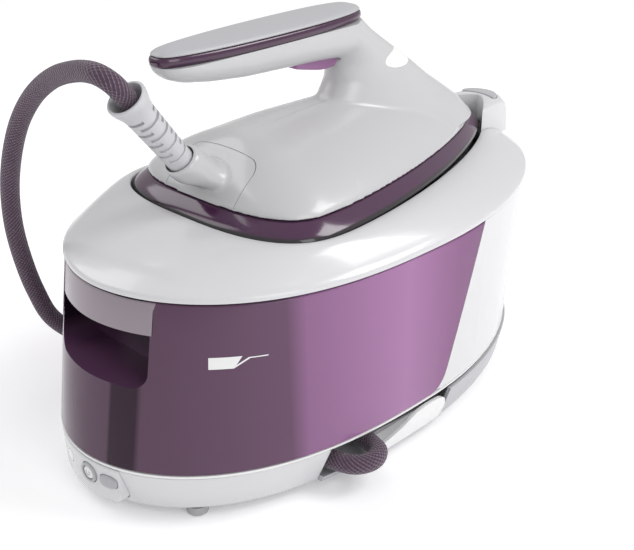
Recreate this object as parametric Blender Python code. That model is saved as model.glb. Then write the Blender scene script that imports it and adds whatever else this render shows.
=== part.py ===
"""Steam generator iron: a boat-shaped base with a slide-out water tank and a lift-off iron on top.

Frame: metres, +Z up, the controls and the tank grip face -Y, the iron's tip points to +Y.
The feet stand on z = 0. Nearly every outline is symmetric about x = 0.
"""
import math

import bmesh
import bpy
from mathutils import Matrix, Vector

# ---------------------------------------------------------------- driving dimensions
GAP = 0.0004                 # clearance between neighbouring pieces
RING_POINTS = 64             # points round a large outline
CENTRE_Y = 0.0187            # station that ends up over the origin when the object is centred
FLOOR_Z = 0.0045             # height that the feet stand on before the object is centred
WIDEST_Y = 0.0164            # station of the base's greatest width
FRONT_POWERS = (1.92, 2.79)  # roundness of the blunt front, across and along
REAR_POWERS = (1.8, 2.0)     # roundness of the slimmer rear

# height: (front y, rear y, half width) of the base's outer skin
BASE_LEVELS = {
    0.0060: (-0.1609, 0.1988, 0.0896),
    0.0108: (-0.1623, 0.1960, 0.0916),
    0.0405: (-0.1710, 0.1905, 0.1042),
    0.1415: (-0.1550, 0.2090, 0.1042),
}
# the tray under the base is a little wider and longer than the skin above it
TRAY_LEVELS = {
    0.0060: (-0.1609, 0.1995, 0.0930),
    0.0108: (-0.1623, 0.1985, 0.0950),
    0.0405: (-0.1710, 0.1975, 0.1050),
}
FOOT_HEIGHT = 0.0108
FOOT_RADIUS = 0.0065
TRAY_FLOOR_TOP = 0.0145
TRAY_WALL_TOP = 0.0335
SKIRT_TOP = 0.0377
DECK_BOTTOM = 0.0381
DECK_TOP = 0.0402
TANK_BOTTOM = 0.0406
TANK_TOP = 0.1412
COVER_BOTTOM = 0.1425
SLOT_FRONT = -0.0680         # where the front skirt ends and the hose slot starts
WALL = 0.0025
WELD = 0.00001

FRAME_HALF = 0.0500          # inner frame that the tank slides round
FRAME_FRONT = -0.1035
FRAME_REAR = 0.1000
FRAME_TOP = 0.1390

GRIP_HALF = 0.0395           # finger recess in the tank's front
GRIP_LOW = 0.0905
GRIP_HIGH = 0.1225
GRIP_BACK = -0.1300

IRON_WIDEST_Y = -0.0400
IRON_HEEL_POWERS = (2.9, 2.7)
IRON_TIP_POWERS = (1.42, 1.5)
RECESS = (-0.0895, 0.1915, 0.0815)      # heel y, tip y, half width of the resting recess
SOLE_BOTTOM = 0.1500
SOLE_TOP = 0.1535
CHAMBER_TOP = 0.1575
SHIELD_TOP = 0.1614
BAND_LOW = 0.1590
BAND_TOP = 0.1695
BODY_INSET = 0.0058          # the band leans in by this much from foot to top
BODY_PLAN = (-0.0855, 0.1855, 0.0780)

HANDLE_HALF = 0.0178
HANDLE_FREE_END = -0.1030
HANDLE_TIP_END = 0.0530
HANDLE_SPLIT = 0.2546        # underside of the handle's coloured ring at its tip end
HANDLE_RING_TOP = 0.2600
HANDLE_TOP = 0.2646
HANDLE_DROOP = 0.0038        # the free end is this much lower than the tip end

HOSE_RADIUS = 0.0059

# control panel: front y, rear y and half width at its foot; it is steeper than the skirt behind it
PANEL_FOOT = (-0.1700, 0.1905, 0.1030)
PANEL_LEFT = -0.0400
PANEL_RIGHT = 0.0245
PANEL_LOW = 0.0135
CONTROL_HEIGHT = 0.0282
# label: (x, radius across, height over width, corner fullness)
CONTROLS = {
    "lamp": (-0.0195, 0.0032, 1.0, 0.7),
    "power": (0.0022, 0.0064, 1.0, 1.0),
    "oval": (0.0178, 0.0062, 0.66, 0.75),
}
CONTROL_DEPTH = 0.0045       # how deep each control sits below the panel's face
CONTROL_GAP = 0.0004
BUTTON_RADIUS = 0.0042       # round button inside the ring

LOCK_CENTRE_Y = 0.1990       # middle of the lock button
LOCK_HALF = (0.0145, 0.0052)
LOCK_TOP = 0.1765            # upper face of the lock housing
LOCK_COUNT = 192             # points round the outlines that the lock housing is cut from
LOCK_NARROWING = 0.55         # outer edge over inner edge, as steps round the outlines
LOCK_BEND = 28.0              # the button curves round the iron's tip: drop along Y per x squared
LOCK_REACH = 12              # outline points on each side of the tip that it covers

COLOURS = {
    "shell_white": ((0.78, 0.78, 0.79), 0.32, 0.0),
    "warm_white": ((0.82, 0.82, 0.81), 0.40, 0.0),
    "light_grey": ((0.60, 0.60, 0.61), 0.40, 0.0),
    "mid_grey": ((0.40, 0.40, 0.42), 0.35, 0.0),
    "tank_violet": ((0.36, 0.20, 0.34), 0.12, 0.0),
    "deep_violet": ((0.07, 0.03, 0.07), 0.18, 0.0),
    "black_plastic": ((0.03, 0.03, 0.03), 0.45, 0.0),
    "rubber": ((0.55, 0.55, 0.55), 0.80, 0.0),
    "black_rubber": ((0.04, 0.04, 0.04), 0.75, 0.0),
    "aluminium": ((0.70, 0.70, 0.71), 0.30, 1.0),
    "steel": ((0.55, 0.55, 0.56), 0.28, 1.0),
    "brass": ((0.70, 0.52, 0.24), 0.30, 1.0),
    "board_green": ((0.05, 0.22, 0.10), 0.50, 0.0),
    "hose_violet": ((0.11, 0.07, 0.10), 0.85, 0.0),
    "lamp_white": ((0.95, 0.95, 0.92), 0.25, 0.0),
}


# ---------------------------------------------------------------- scene helpers
def clear_scene():
    for item in list(bpy.data.objects):
        bpy.data.objects.remove(item, do_unlink=True)


def material(name):
    found = bpy.data.materials.get(name)
    if found:
        return found
    colour, roughness, metallic = COLOURS[name]
    made = bpy.data.materials.new(name)
    made.use_nodes = True
    shader = made.node_tree.nodes["Principled BSDF"]
    shader.inputs["Base Color"].default_value = (*colour, 1.0)
    shader.inputs["Roughness"].default_value = roughness
    shader.inputs["Metallic"].default_value = metallic
    return made


def finish(obj, colour):
    """Give an object its material and smooth shading with crisp edges."""
    obj.data.materials.clear()
    obj.data.materials.append(material(colour))
    obj.data.shade_smooth()
    obj.data.set_sharp_from_angle(angle=math.radians(32))
    return obj


def mesh_object(name, vertices, faces, colour="shell_white"):
    """A new object from plain vertices and faces, with its faces turned outward."""
    mesh = bpy.data.meshes.new(name)
    mesh.from_pydata([tuple(v) for v in vertices], [], faces)
    work = bmesh.new()
    work.from_mesh(mesh)
    bmesh.ops.recalc_face_normals(work, faces=work.faces)
    work.to_mesh(mesh)
    work.free()
    obj = bpy.data.objects.new(name, mesh)
    bpy.context.scene.collection.objects.link(obj)
    return finish(obj, colour)


def evaluate(obj):
    """Replace an object's mesh by what its modifiers make of it."""
    graph = bpy.context.evaluated_depsgraph_get()
    made = bpy.data.meshes.new_from_object(obj.evaluated_get(graph))
    obj.modifiers.clear()
    obj.data = made
    weld(made)


def weld(mesh):
    """Merge points closer than a hundredth of a millimetre and drop faces without area."""
    work = bmesh.new()
    work.from_mesh(mesh)
    bmesh.ops.remove_doubles(work, verts=work.verts, dist=WELD)
    bmesh.ops.dissolve_degenerate(work, edges=work.edges, dist=WELD)
    work.to_mesh(mesh)
    work.free()


def combine(target, other, operation, keep=False):
    """Boolean target with other, bake the result, and drop the other solid."""
    step = target.modifiers.new("cut", "BOOLEAN")
    step.object = other
    step.operation = operation
    step.solver = "EXACT"
    evaluate(target)
    if not keep:
        bpy.data.objects.remove(other, do_unlink=True)
    return target


def cut(target, *others):
    for other in others:
        combine(target, other, "DIFFERENCE")
    return target


def common(target, other):
    return combine(target, other, "INTERSECT")


def join(target, *others):
    for other in others:
        combine(target, other, "UNION")
    return target


def clone(obj, name):
    twin = obj.copy()
    twin.data = obj.data.copy()
    twin.name = name
    bpy.context.scene.collection.objects.link(twin)
    return twin


def bevel(obj, width, segments=2, angle=40):
    step = obj.modifiers.new("edges", "BEVEL")
    step.width = width
    step.segments = segments
    step.limit_method = "ANGLE"
    step.angle_limit = math.radians(angle)
    evaluate(obj)
    return obj


# ---------------------------------------------------------------- solid builders
def loft(name, rings, colour="shell_white", closed=False):
    """Skin rings of equal length; the ends are capped unless the rings close on themselves."""
    size = len(rings[0])
    vertices = [point for ring in rings for point in ring]
    faces = []
    spans = len(rings) if closed else len(rings) - 1
    for level in range(spans):
        low = level * size
        high = (level + 1) % len(rings) * size
        for i in range(size):
            j = (i + 1) % size
            faces.append((low + i, low + j, high + j, high + i))
    if not closed:
        faces.append(tuple(range(size)))
        faces.append(tuple(range(len(vertices) - size, len(vertices))))
    return mesh_object(name, vertices, faces, colour)


def box(name, low, high, colour="shell_white"):
    x0, y0, z0 = low
    x1, y1, z1 = high
    base = [(x0, y0), (x1, y0), (x1, y1), (x0, y1)]
    rings = [[Vector((x, y, z)) for x, y in base] for z in (z0, z1)]
    return loft(name, rings, colour)


def prism_x(name, outline, x0, x1, colour="shell_white"):
    """Extrude a (y, z) outline along X."""
    rings = [[Vector((x, y, z)) for y, z in outline] for x in (x0, x1)]
    return loft(name, rings, colour)


def prism_y(name, outline, y0, y1, colour="shell_white"):
    """Extrude an (x, z) outline along Y."""
    rings = [[Vector((x, y, z)) for x, z in outline] for y in (y0, y1)]
    return loft(name, rings, colour)


def turned(name, base, axis, profile, colour, sides=24, squash=1.0, fullness=1.0):
    """Solid of revolution from (distance along axis, radius) pairs.

    Squash flattens it upward; fullness below 1 swells its round outline toward a rectangle.
    """
    axis = Vector(axis).normalized()
    helper = Vector((0, 0, 1)) if abs(axis.z) < 0.9 else Vector((0, 1, 0))
    side = axis.cross(helper).normalized()
    up = side.cross(axis).normalized()
    rings = []
    for along, radius in profile:
        centre = Vector(base) + axis * along
        ring = []
        for i in range(sides):
            angle = 2 * math.pi * i / sides
            u = radius * math.copysign(abs(math.cos(angle)) ** fullness, math.cos(angle))
            v = radius * squash * math.copysign(abs(math.sin(angle)) ** fullness, math.sin(angle))
            ring.append(centre + side * u + up * v)
        rings.append(ring)
    return loft(name, rings, colour)


def tube(name, base, axis, profile_outer, bore, colour, sides=24, mouth=()):
    """Turned piece with a bore right through it; mouth lists how the bore's far end opens out."""
    axis = Vector(axis).normalized()
    start, end = profile_outer[0][0], profile_outer[-1][0]
    profile = list(profile_outer) + (list(mouth) or [(end, bore)]) + [(start, bore)]
    helper = Vector((0, 0, 1)) if abs(axis.z) < 0.9 else Vector((0, 1, 0))
    side = axis.cross(helper).normalized()
    up = side.cross(axis).normalized()
    rings = []
    for along, radius in profile:
        centre = Vector(base) + axis * along
        angles = [2 * math.pi * i / sides for i in range(sides)]
        rings.append([centre + side * (radius * math.cos(a)) + up * (radius * math.sin(a)) for a in angles])
    return loft(name, rings, colour, closed=True)


def cable(name, points, radius, colour, resolution=3):
    """Round cable along a polyline, with filled ends."""
    curve = bpy.data.curves.new(name, "CURVE")
    curve.dimensions = "3D"
    curve.bevel_depth = radius
    curve.bevel_resolution = resolution
    curve.use_fill_caps = True
    spline = curve.splines.new("POLY")
    spline.points.add(len(points) - 1)
    for target, point in zip(spline.points, points):
        target.co = (*point, 1.0)
    obj = bpy.data.objects.new(name, curve)
    bpy.context.scene.collection.objects.link(obj)
    curve.materials.append(material(colour))
    return obj


# ---------------------------------------------------------------- plan outlines
def outline(front, rear, half, z, widest, front_powers, rear_powers, count=RING_POINTS):
    """Closed plan outline at one height, from the front point round by +X."""
    ring = []
    for i in range(count):
        angle = 2 * math.pi * i / count
        side, along = math.sin(angle), -math.cos(angle)
        across, length = front_powers if along < 0 else rear_powers
        reach = widest - front if along < 0 else rear - widest
        x = half * math.copysign(abs(side) ** (2 / across), side)
        y = widest + reach * math.copysign(abs(along) ** (2 / length), along)
        ring.append(Vector((x, y, z)))
    return ring


def base_sizes(z, levels=BASE_LEVELS):
    """Front, rear and half width of the base's outer skin at a height."""
    heights = sorted(levels)
    z_in = min(max(z, heights[0]), heights[-1])
    for low, high in zip(heights, heights[1:]):
        if z_in <= high:
            share = (z_in - low) / (high - low)
            return [a + (b - a) * share for a, b in zip(levels[low], levels[high])]


def base_ring(z, grow=0.0, at=None, levels=BASE_LEVELS):
    """Outline of the base's skin at height z, grown outward, placed at height at."""
    front, rear, half = base_sizes(z, levels)
    place = z if at is None else at
    return outline(front - grow, rear + grow, half + grow, place, WIDEST_Y, FRONT_POWERS, REAR_POWERS)


def base_loft(name, low, high, grow=0.0, colour="shell_white", levels=BASE_LEVELS):
    """Solid bounded by the base's skin between two heights."""
    between = [z for z in sorted(levels) if low + 0.001 < z < high - 0.001]
    return loft(name, [base_ring(z, grow, levels=levels) for z in [low] + between + [high]], colour)


def iron_ring(plan, z, grow=0.0, count=RING_POINTS):
    """Outline of the iron: wide, square heel and a long taper to the tip."""
    heel, tip, half = plan
    return outline(heel - grow, tip + grow, half + grow, z, IRON_WIDEST_Y,
                   IRON_HEEL_POWERS, IRON_TIP_POWERS, count)


def bezier(a, b, c, steps):
    """Points on a quadratic curve from a to c, drawn toward b."""
    points = []
    for i in range(steps + 1):
        t = i / steps
        points.append(tuple((1 - t) ** 2 * p + 2 * t * (1 - t) * q + t * t * r for p, q, r in zip(a, b, c)))
    return points


def arc(centre, radius, start, end, steps):
    """Points (u, v) on a circular arc, angles in degrees."""
    points = []
    for i in range(steps + 1):
        angle = math.radians(start + (end - start) * i / steps)
        points.append((centre[0] + radius * math.cos(angle), centre[1] + radius * math.sin(angle)))
    return points


# ---------------------------------------------------------------- base: tray, skirt, deck, feet
def parting_line(shift_y=0.0, shift_z=0.0):
    """Slanted side line between tank and rear shell, rounded at its foot, as (y, z)."""
    slope = 0.4057
    top = (0.0245 + (0.190 - 0.040) * slope, 0.190)
    knee = (0.0302, 0.0540)
    line = [top] + bezier(knee, (0.0247, TANK_BOTTOM), (0.0100, TANK_BOTTOM), 6)
    return [(y + shift_y, z + shift_z) for y, z in line]


def make_feet():
    places = {"front_left": (-0.050, -0.1310), "front_right": (0.050, -0.1310),
              "rear_left": (-0.046, 0.140), "rear_right": (0.046, 0.140)}
    for label, (x, y) in places.items():
        height = FOOT_HEIGHT - FLOOR_Z - GAP
        profile = [(0.0, FOOT_RADIUS - 0.0010), (0.0010, FOOT_RADIUS), (height, FOOT_RADIUS)]
        turned("foot_" + label, (x, y, FLOOR_Z), (0, 0, 1), profile, "rubber")


def make_tray():
    """Bottom tray: a floor under everything and a low wall round the rear hose space."""
    tray = base_loft("rear_tray", FOOT_HEIGHT, TRAY_WALL_TOP, 0.0, "light_grey", TRAY_LEVELS)
    cut(tray, base_loft("hollow", TRAY_FLOOR_TOP, 0.0360, -WALL, levels=TRAY_LEVELS))
    front = box("front", (-0.2, -0.3, 0.0), (0.2, SLOT_FRONT + GAP, 0.06))
    cut(front, base_loft("inside", -0.0100, 0.0800, -0.0040))
    cut(tray, front)
    near = [(SLOT_FRONT - 0.02, TRAY_FLOOR_TOP + GAP), (-0.0222, TRAY_FLOOR_TOP + GAP), (-0.0222, 0.06),
            (SLOT_FRONT - 0.02, 0.06)]
    cut(tray, prism_x("window_near", near, 0.05, 0.15))
    far = [(SLOT_FRONT - 0.02, TRAY_FLOOR_TOP + GAP), (0.0260, TRAY_FLOOR_TOP + GAP), (0.0400, 0.06),
           (SLOT_FRONT - 0.02, 0.06)]
    cut(tray, prism_x("window_far", far, -0.15, -0.05))
    cut(tray, box("clip_seat", (0.080, -0.0223, 0.0), (0.15, 0.0393, 0.06)))
    return tray


def make_clip():
    """White curved lip beside the slot that holds the folded hose in."""
    clip = base_loft("hose_clip", FOOT_HEIGHT, 0.0336, 0.0006, "warm_white", TRAY_LEVELS)
    cut(clip, base_loft("hollow", 0.0, 0.0500, -WALL, levels=TRAY_LEVELS))
    crest = bezier((-0.0219, 0.0190), (-0.0080, 0.0225), (-0.0010, 0.0290), 5)
    crest += bezier((-0.0010, 0.0290), (0.0080, 0.0350), (0.0220, 0.0330), 5)[1:]
    crest += bezier((0.0220, 0.0330), (0.0360, 0.0325), (0.0389, 0.0190), 6)[1:]
    shape = [(-0.0219, 0.0)] + crest + [(0.0389, 0.0)]
    return common(clip, prism_x("shape", shape, 0.0803, 0.15))


def make_skirt():
    """Front skirt, the white band that carries the controls."""
    skirt = base_loft("front_skirt", FOOT_HEIGHT, SKIRT_TOP, colour="shell_white")
    cut(skirt, base_loft("hollow", 0.0, 0.0600, -0.0034))
    cut(skirt, box("rear", (-0.2, SLOT_FRONT, 0.0), (0.2, 0.3, 0.06)))
    return skirt


def make_slot_wall():
    """Upright wall behind the skirt that closes the front of the hose space."""
    wall = base_loft("slot_wall", TRAY_FLOOR_TOP + GAP, SKIRT_TOP, -0.0042, "light_grey")
    keep = box("keep", (-0.2, SLOT_FRONT - 0.0040, 0.0), (0.2, SLOT_FRONT - 0.0012, 0.06))
    return common(wall, keep)


def make_deck():
    """Thin deck that the tank rests on; its edge is the bright rim over the slot."""
    deck = base_loft("body_deck", DECK_BOTTOM, DECK_TOP, 0.0003, "shell_white")
    return cut(deck, turned("steam_hole", (0.0, 0.0, 0.03), (0, 0, 1), [(0, 0.0056), (0.02, 0.0056)], "steel"))


def make_support():
    """Centre support between tray and deck, with the hose outlet block on its side."""
    low, high = (-0.040, -0.030, TRAY_FLOOR_TOP + GAP), (0.040, 0.078, DECK_BOTTOM - GAP)
    support = bevel(box("centre_support", low, high, "light_grey"), 0.003, 1)
    return cut(support, turned("steam_hole", (0.0, 0.0, 0.028), (0, 0, 1), [(0, 0.0056), (0.02, 0.0056)], "steel"))


def make_hose_outlet():
    """Collar on the centre support where the steam hose leaves the base, facing +Y."""
    body = box("hose_outlet", (0.0404, -0.0100, 0.0149), (0.0700, 0.0040, 0.0310), "mid_grey")
    bevel(body, 0.002, 1)
    profile = [(0.0, 0.0078), (0.0050, 0.0078), (0.0070, 0.0072)]
    return join(body, turned("mouth", (0.0620, 0.0030, 0.0228), (0, 1, 0), profile, "mid_grey"))


# ---------------------------------------------------------------- controls
def panel_sizes(z):
    """Front, rear and half width of the panel's outer face at a height."""
    share = min(max((z - FOOT_HEIGHT) / (TANK_BOTTOM - FOOT_HEIGHT), 0.0), 1.0)
    return [a + (b - a) * share for a, b in zip(PANEL_FOOT, base_sizes(TANK_BOTTOM))]


def panel_skin(x, z):
    """Point on the panel's outer face."""
    front, rear, half = panel_sizes(z)
    share = min(1.0, abs(x) / half)
    y = WIDEST_Y - (WIDEST_Y - front) * (1 - share ** FRONT_POWERS[0]) ** (1 / FRONT_POWERS[1])
    return Vector((x, y, z))


def panel_normal(x, z=CONTROL_HEIGHT):
    """Outward direction of the panel's face at a point."""
    step = 0.001
    across = panel_skin(x + step, z) - panel_skin(x - step, z)
    upward = panel_skin(x, z + step) - panel_skin(x, z - step)
    return across.cross(upward).normalized()


def control_point(label, inward=0.0):
    """Middle of a control on the panel's face, or a distance below it."""
    x = CONTROLS[label][0]
    return panel_skin(x, CONTROL_HEIGHT) - panel_normal(x) * inward


def control_piece(name, label, shrink, proud, colour, sides=28):
    x, radius, squash, fullness = CONTROLS[label]
    radius -= shrink
    top = CONTROL_DEPTH + proud
    profile = [(0.0, radius), (top - 0.0006, radius), (top, radius - 0.0006)]
    return turned(name, control_point(label, CONTROL_DEPTH), panel_normal(x), profile, colour, sides, squash, fullness)


def make_controls(skirt):
    """Control panel let into the skirt, with a lamp, a round button and an oval button."""
    width = (PANEL_LEFT, -0.3, 0.0), (PANEL_RIGHT, -0.1, 0.06)
    low, high = PANEL_LOW, SKIRT_TOP - 0.0003
    faces = [outline(*panel_sizes(z), z, WIDEST_Y, FRONT_POWERS, REAR_POWERS) for z in (low, high)]
    panel = loft("control_panel", faces, "shell_white")
    cut(panel, base_loft("hollow", 0.0, 0.0600, -0.0014))
    common(panel, box("width", *width))
    pocket = base_loft("pocket", 0.0, 0.0600, 0.0040)
    cut(pocket, base_loft("hollow", -0.0100, 0.0700, -0.0018))
    common(pocket, box("width", (PANEL_LEFT - GAP, -0.3, PANEL_LOW - GAP), (PANEL_RIGHT + GAP, -0.1, 0.0500)))
    cut(skirt, pocket)
    for label, (x, radius, squash, fullness) in CONTROLS.items():
        for target in (panel, skirt):
            profile = [(0, radius + CONTROL_GAP), (0.03, radius + CONTROL_GAP)]
            base = control_point(label, 0.015)
            cut(target, turned("hole", base, panel_normal(x), profile, "steel", 28, squash, fullness))
    control_piece("panel_lamp", "lamp", 0.0, 0.0006, "lamp_white")
    ring = control_piece("power_ring", "power", 0.0, 0.0014, "light_grey")
    bore = [(0, BUTTON_RADIUS + CONTROL_GAP), (0.03, BUTTON_RADIUS + CONTROL_GAP)]
    x, radius = CONTROLS["power"][:2]
    cut(ring, turned("bore", control_point("power", 0.015), panel_normal(x), bore, "steel", 28))
    control_piece("power_button", "power", radius - BUTTON_RADIUS, 0.0010, "warm_white")
    control_piece("oval_button", "oval", 0.0, 0.0014, "mid_grey")


# ---------------------------------------------------------------- water tank
def tank_front_region(name, back=0.0, shift_z=0.0):
    """Everything in front of the parting line, moved back by a distance."""
    line = parting_line(-back, shift_z)
    shape = [(-0.30, 0.190)] + line + [(-0.30, line[-1][1])]
    return prism_x(name, shape, -0.2, 0.2)


def grip_outline(grow=0.0):
    """Finger recess seen from the front, (x, z), square above and rounded below."""
    half, low, radius = GRIP_HALF + grow, GRIP_LOW - grow, 0.0095
    lower_right = arc((half - radius, low + radius), radius, 0, -90, 4)
    lower_left = [(-x, z) for x, z in reversed(lower_right)]
    return [(half, GRIP_HIGH)] + lower_right + lower_left + [(-half, GRIP_HIGH)]


def make_tank():
    """U-shaped water tank, open above, with a finger recess moulded into its front."""
    tank = base_loft("water_tank", TANK_BOTTOM, TANK_TOP, colour="tank_violet")
    common(tank, tank_front_region("front", 0.0))
    cut(tank, box("bay", (-FRAME_HALF - 0.0020, FRAME_FRONT - 0.0015, 0.0), (FRAME_HALF + 0.0020, 0.3, 0.2)))
    hollow = base_loft("hollow", TANK_BOTTOM + WALL, 0.1600, -WALL)
    common(hollow, tank_front_region("front", 0.0032, WALL))
    cut(hollow, box("bay", (-FRAME_HALF - 0.0045, FRAME_FRONT - 0.0040, 0.0), (FRAME_HALF + 0.0045, 0.3, 0.2)))
    cut(hollow, box("grip", (-GRIP_HALF - WALL, -0.3, GRIP_LOW - WALL),
                    (GRIP_HALF + WALL, GRIP_BACK + WALL, 0.2)))
    cut(tank, hollow)
    cut(tank, prism_y("pocket", grip_outline(), -0.3, GRIP_BACK))
    drain = turned("drain", (0.0, FRAME_FRONT - 0.010, 0.0530), (0, 1, 0), [(0, 0.0070), (0.03, 0.0070)], "steel")
    return cut(tank, drain)


def make_tank_lid():
    """Lid let into the top of the tank, with the filling hole on its right arm."""
    lid = base_loft("tank_lid", 0.1385, TANK_TOP - GAP, -WALL - 0.0004, "tank_violet")
    common(lid, tank_front_region("front", 0.0050, 0.0))
    cut(lid, box("bay", (-FRAME_HALF - 0.0049, FRAME_FRONT - 0.0044, 0.0), (FRAME_HALF + 0.0049, 0.3, 0.2)))
    cut(lid, box("grip", (-GRIP_HALF - 0.0029, -0.3, 0.0), (GRIP_HALF + 0.0029, GRIP_BACK + 0.0029, 0.2)))
    return cut(lid, box("fill", (0.0620, -0.060, 0.1), (0.0860, -0.020, 0.2)))


def make_tank_fittings():
    cap = bevel(box("tank_cap", (0.0624, -0.0596, 0.1388), (0.0856, -0.0204, 0.1408), "deep_violet"), 0.0006, 1)
    finish(cap, "deep_violet")
    valve = [(0.0, 0.0066), (0.0120, 0.0066)]
    tube("tank_valve", (0.0, FRAME_FRONT - 0.0160, 0.0530), (0, 1, 0), valve, 0.0056, "black_rubber")
    spigot = [(0.0, 0.0040), (0.0125, 0.0040)]
    tube("tank_coupling", (0.0, FRAME_FRONT - 0.0110, 0.0530), (0, 1, 0), spigot, 0.0024, "light_grey")


# ---------------------------------------------------------------- rear shell and inner frame
def make_rear_shell():
    """White shell behind the parting line that the tank's arms run up to."""
    bottom, top = DECK_TOP + 0.0003, COVER_BOTTOM - GAP
    shell = base_loft("rear_shell", bottom, top, colour="shell_white")
    cut(shell, tank_front_region("front", -0.0006, -0.0005))
    hollow = base_loft("hollow", bottom + WALL, 0.1600, -WALL)
    cut(hollow, tank_front_region("front", -0.0036, -0.0005))
    cut(shell, hollow)
    bay = box("bay", (-FRAME_HALF - 0.0004, -0.2, 0.0), (FRAME_HALF + 0.0004, FRAME_REAR + 0.0004, 0.2))
    cut(shell, bay)
    low_front = box("sliver", (-0.2, -0.2, 0.0), (0.2, 0.0240, 0.0420))
    cut(shell, low_front)
    hole = turned("hole", (0.0, 0.170, 0.0620), (0, 1, 0), [(0, 0.0064), (0.06, 0.0064)], "steel")
    return cut(shell, hole)


def make_mains_gland():
    profile = [(0.0, 0.0060), (0.0140, 0.0060)]
    return tube("mains_gland", (0.0, 0.1830, 0.0620), (0, 1, 0), profile, 0.0038, "black_rubber")


def make_inner_frame():
    """Tub between the tank's arms that carries the boiler and the pump."""
    low = DECK_TOP + 0.0004
    frame = box("inner_frame", (-FRAME_HALF, FRAME_FRONT, low), (FRAME_HALF, FRAME_REAR, FRAME_TOP), "light_grey")
    inner = FRAME_HALF - 0.0020
    cut(frame, box("hollow", (-inner, FRAME_FRONT + 0.002, low + 0.002), (inner, FRAME_REAR - 0.002, 0.2)))
    cut(frame, turned("steam_hole", (0.0, 0.0, 0.03), (0, 0, 1), [(0, 0.0056), (0.03, 0.0056)], "steel"))
    spigot = turned("spigot", (0.0, FRAME_FRONT - 0.01, 0.0530), (0, 1, 0), [(0, 0.0044), (0.03, 0.0044)], "steel")
    return cut(frame, spigot)


def make_internals():
    """Boiler, heater, pump, valve, board and pipes inside the inner frame."""
    boiler_profile = [(0.0, 0.0360), (0.0030, 0.0390), (0.0620, 0.0390), (0.0680, 0.0340), (0.0700, 0.0200)]
    turned("boiler", (0.0, 0.0480, 0.0510), (0, 0, 1), boiler_profile, "steel", 32)
    turned("boiler_heater", (0.0, 0.0480, 0.0430), (0, 0, 1), [(0, 0.0340), (0.0076, 0.0340)], "aluminium", 32)
    turned("steam_valve", (0.0, 0.0480, 0.1213), (0, 0, 1), [(0, 0.0110), (0.0150, 0.0110)], "brass", 16)
    turned("water_pump", (-0.0300, -0.0700, 0.0600), (1, 0, 0),
           [(0, 0.0090), (0.0060, 0.0150), (0.0460, 0.0150), (0.0520, 0.0080)], "mid_grey", 20)
    box("control_board", (-0.0470, -0.0400, 0.0560), (-0.0454, 0.0020, 0.1180), "board_green")
    turned("steam_riser", (0.0, 0.0, 0.0300), (0, 0, 1), [(0, 0.0050), (0.0500, 0.0050)], "brass", 16)
    cable("water_pipe", bezier((-0.0200, -0.0700, 0.0756), (-0.0200, -0.0700, 0.0990), (-0.0200, 0.0118, 0.0990), 8),
          0.0030, "black_rubber", 2)
    cable("steam_pipe", bezier((0.0, 0.0363, 0.1300), (0.0, -0.0060, 0.1385), (0.0, 0.0, 0.0806), 8),
          0.0030, "steel", 2)
    turned("inlet_pipe", (0.0, -0.1012, 0.0530), (0, 1, 0), [(0, 0.0020), (0.0164, 0.0020)], "black_rubber", 12)


# ---------------------------------------------------------------- top cover, rest plate, carry lock
def blend_ring(outer, inner, share, z):
    """Ring part of the way from an outer to an inner ring, at a height or between heights."""
    ring = []
    for a, b in zip(outer, inner):
        point = a.lerp(b, share)
        point.z = a.z + (b.z - a.z) * z
        ring.append(point)
    return ring


def recess_edge(grow=0.0, drop=0.0):
    """Edge of the resting recess: a little higher at the heel than at the tip."""
    ring = iron_ring(RECESS, 0.0, grow)
    for point in ring:
        share = (point.y - RECESS[0]) / (RECESS[1] - RECESS[0])
        point.z = 0.1625 - 0.0050 * share - drop
    return ring


def make_top_cover():
    """Sloping cover from a bright rim up to the recess that the iron rests in."""
    rim_low = base_ring(0.1415, 0.0004, COVER_BOTTOM)
    rim_mid = base_ring(0.1415, 0.0006, 0.1440)
    rim_high = base_ring(0.1415, -0.0006, 0.1462)
    edge = recess_edge(0.0012)
    edge_round = recess_edge(0.0, 0.0006)
    throat = iron_ring(RECESS, 0.1440)
    throat_out = iron_ring(RECESS, 0.1440, 0.0022)
    under_edge = recess_edge(0.0024, 0.0030)
    under_rim = base_ring(0.1415, -0.0030, 0.1440)
    under_low = base_ring(0.1415, -0.0026, COVER_BOTTOM)
    outer = [blend_ring(rim_high, edge, s, h) for s, h in ((0.2, 0.31), (0.5, 0.71), (0.8, 0.98))]
    inner = [blend_ring(under_rim, under_edge, s, h) for s, h in ((0.75, 0.80), (0.4, 0.42))]
    rings = [rim_low, rim_mid, rim_high] + outer + [edge, edge_round, throat, throat_out, under_edge]
    return loft("top_cover", rings + inner + [under_rim, under_low], "shell_white", closed=True)


def make_rest_plate():
    """Heat-proof plate that closes the bottom of the recess."""
    plan = iron_ring(RECESS, COVER_BOTTOM, -0.0006)
    top = iron_ring(RECESS, 0.1465, -0.0006)
    plate = loft("rest_plate", [plan, top], "black_plastic")
    floor = iron_ring(RECESS, 0.1446, -0.0040)
    return cut(plate, loft("dish", [floor, iron_ring(RECESS, 0.1500, -0.0040)]))


def make_rest_pads():
    heel = box("rest_pad_heel", (-0.045, -0.066, 0.1450), (0.045, -0.050, SOLE_BOTTOM - 0.0004), "black_rubber")
    bevel(heel, 0.0012, 1)
    tip = box("rest_pad_tip", (-0.016, 0.100, 0.1450), (0.016, 0.124, SOLE_BOTTOM - 0.0004), "black_rubber")
    bevel(tip, 0.0012, 1)


def rim_point(rim, place):
    """Point of an outline at a place given as a fractional index."""
    whole = int(place)
    return rim[whole].lerp(rim[(whole + 1) % len(rim)], place - whole)


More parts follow.
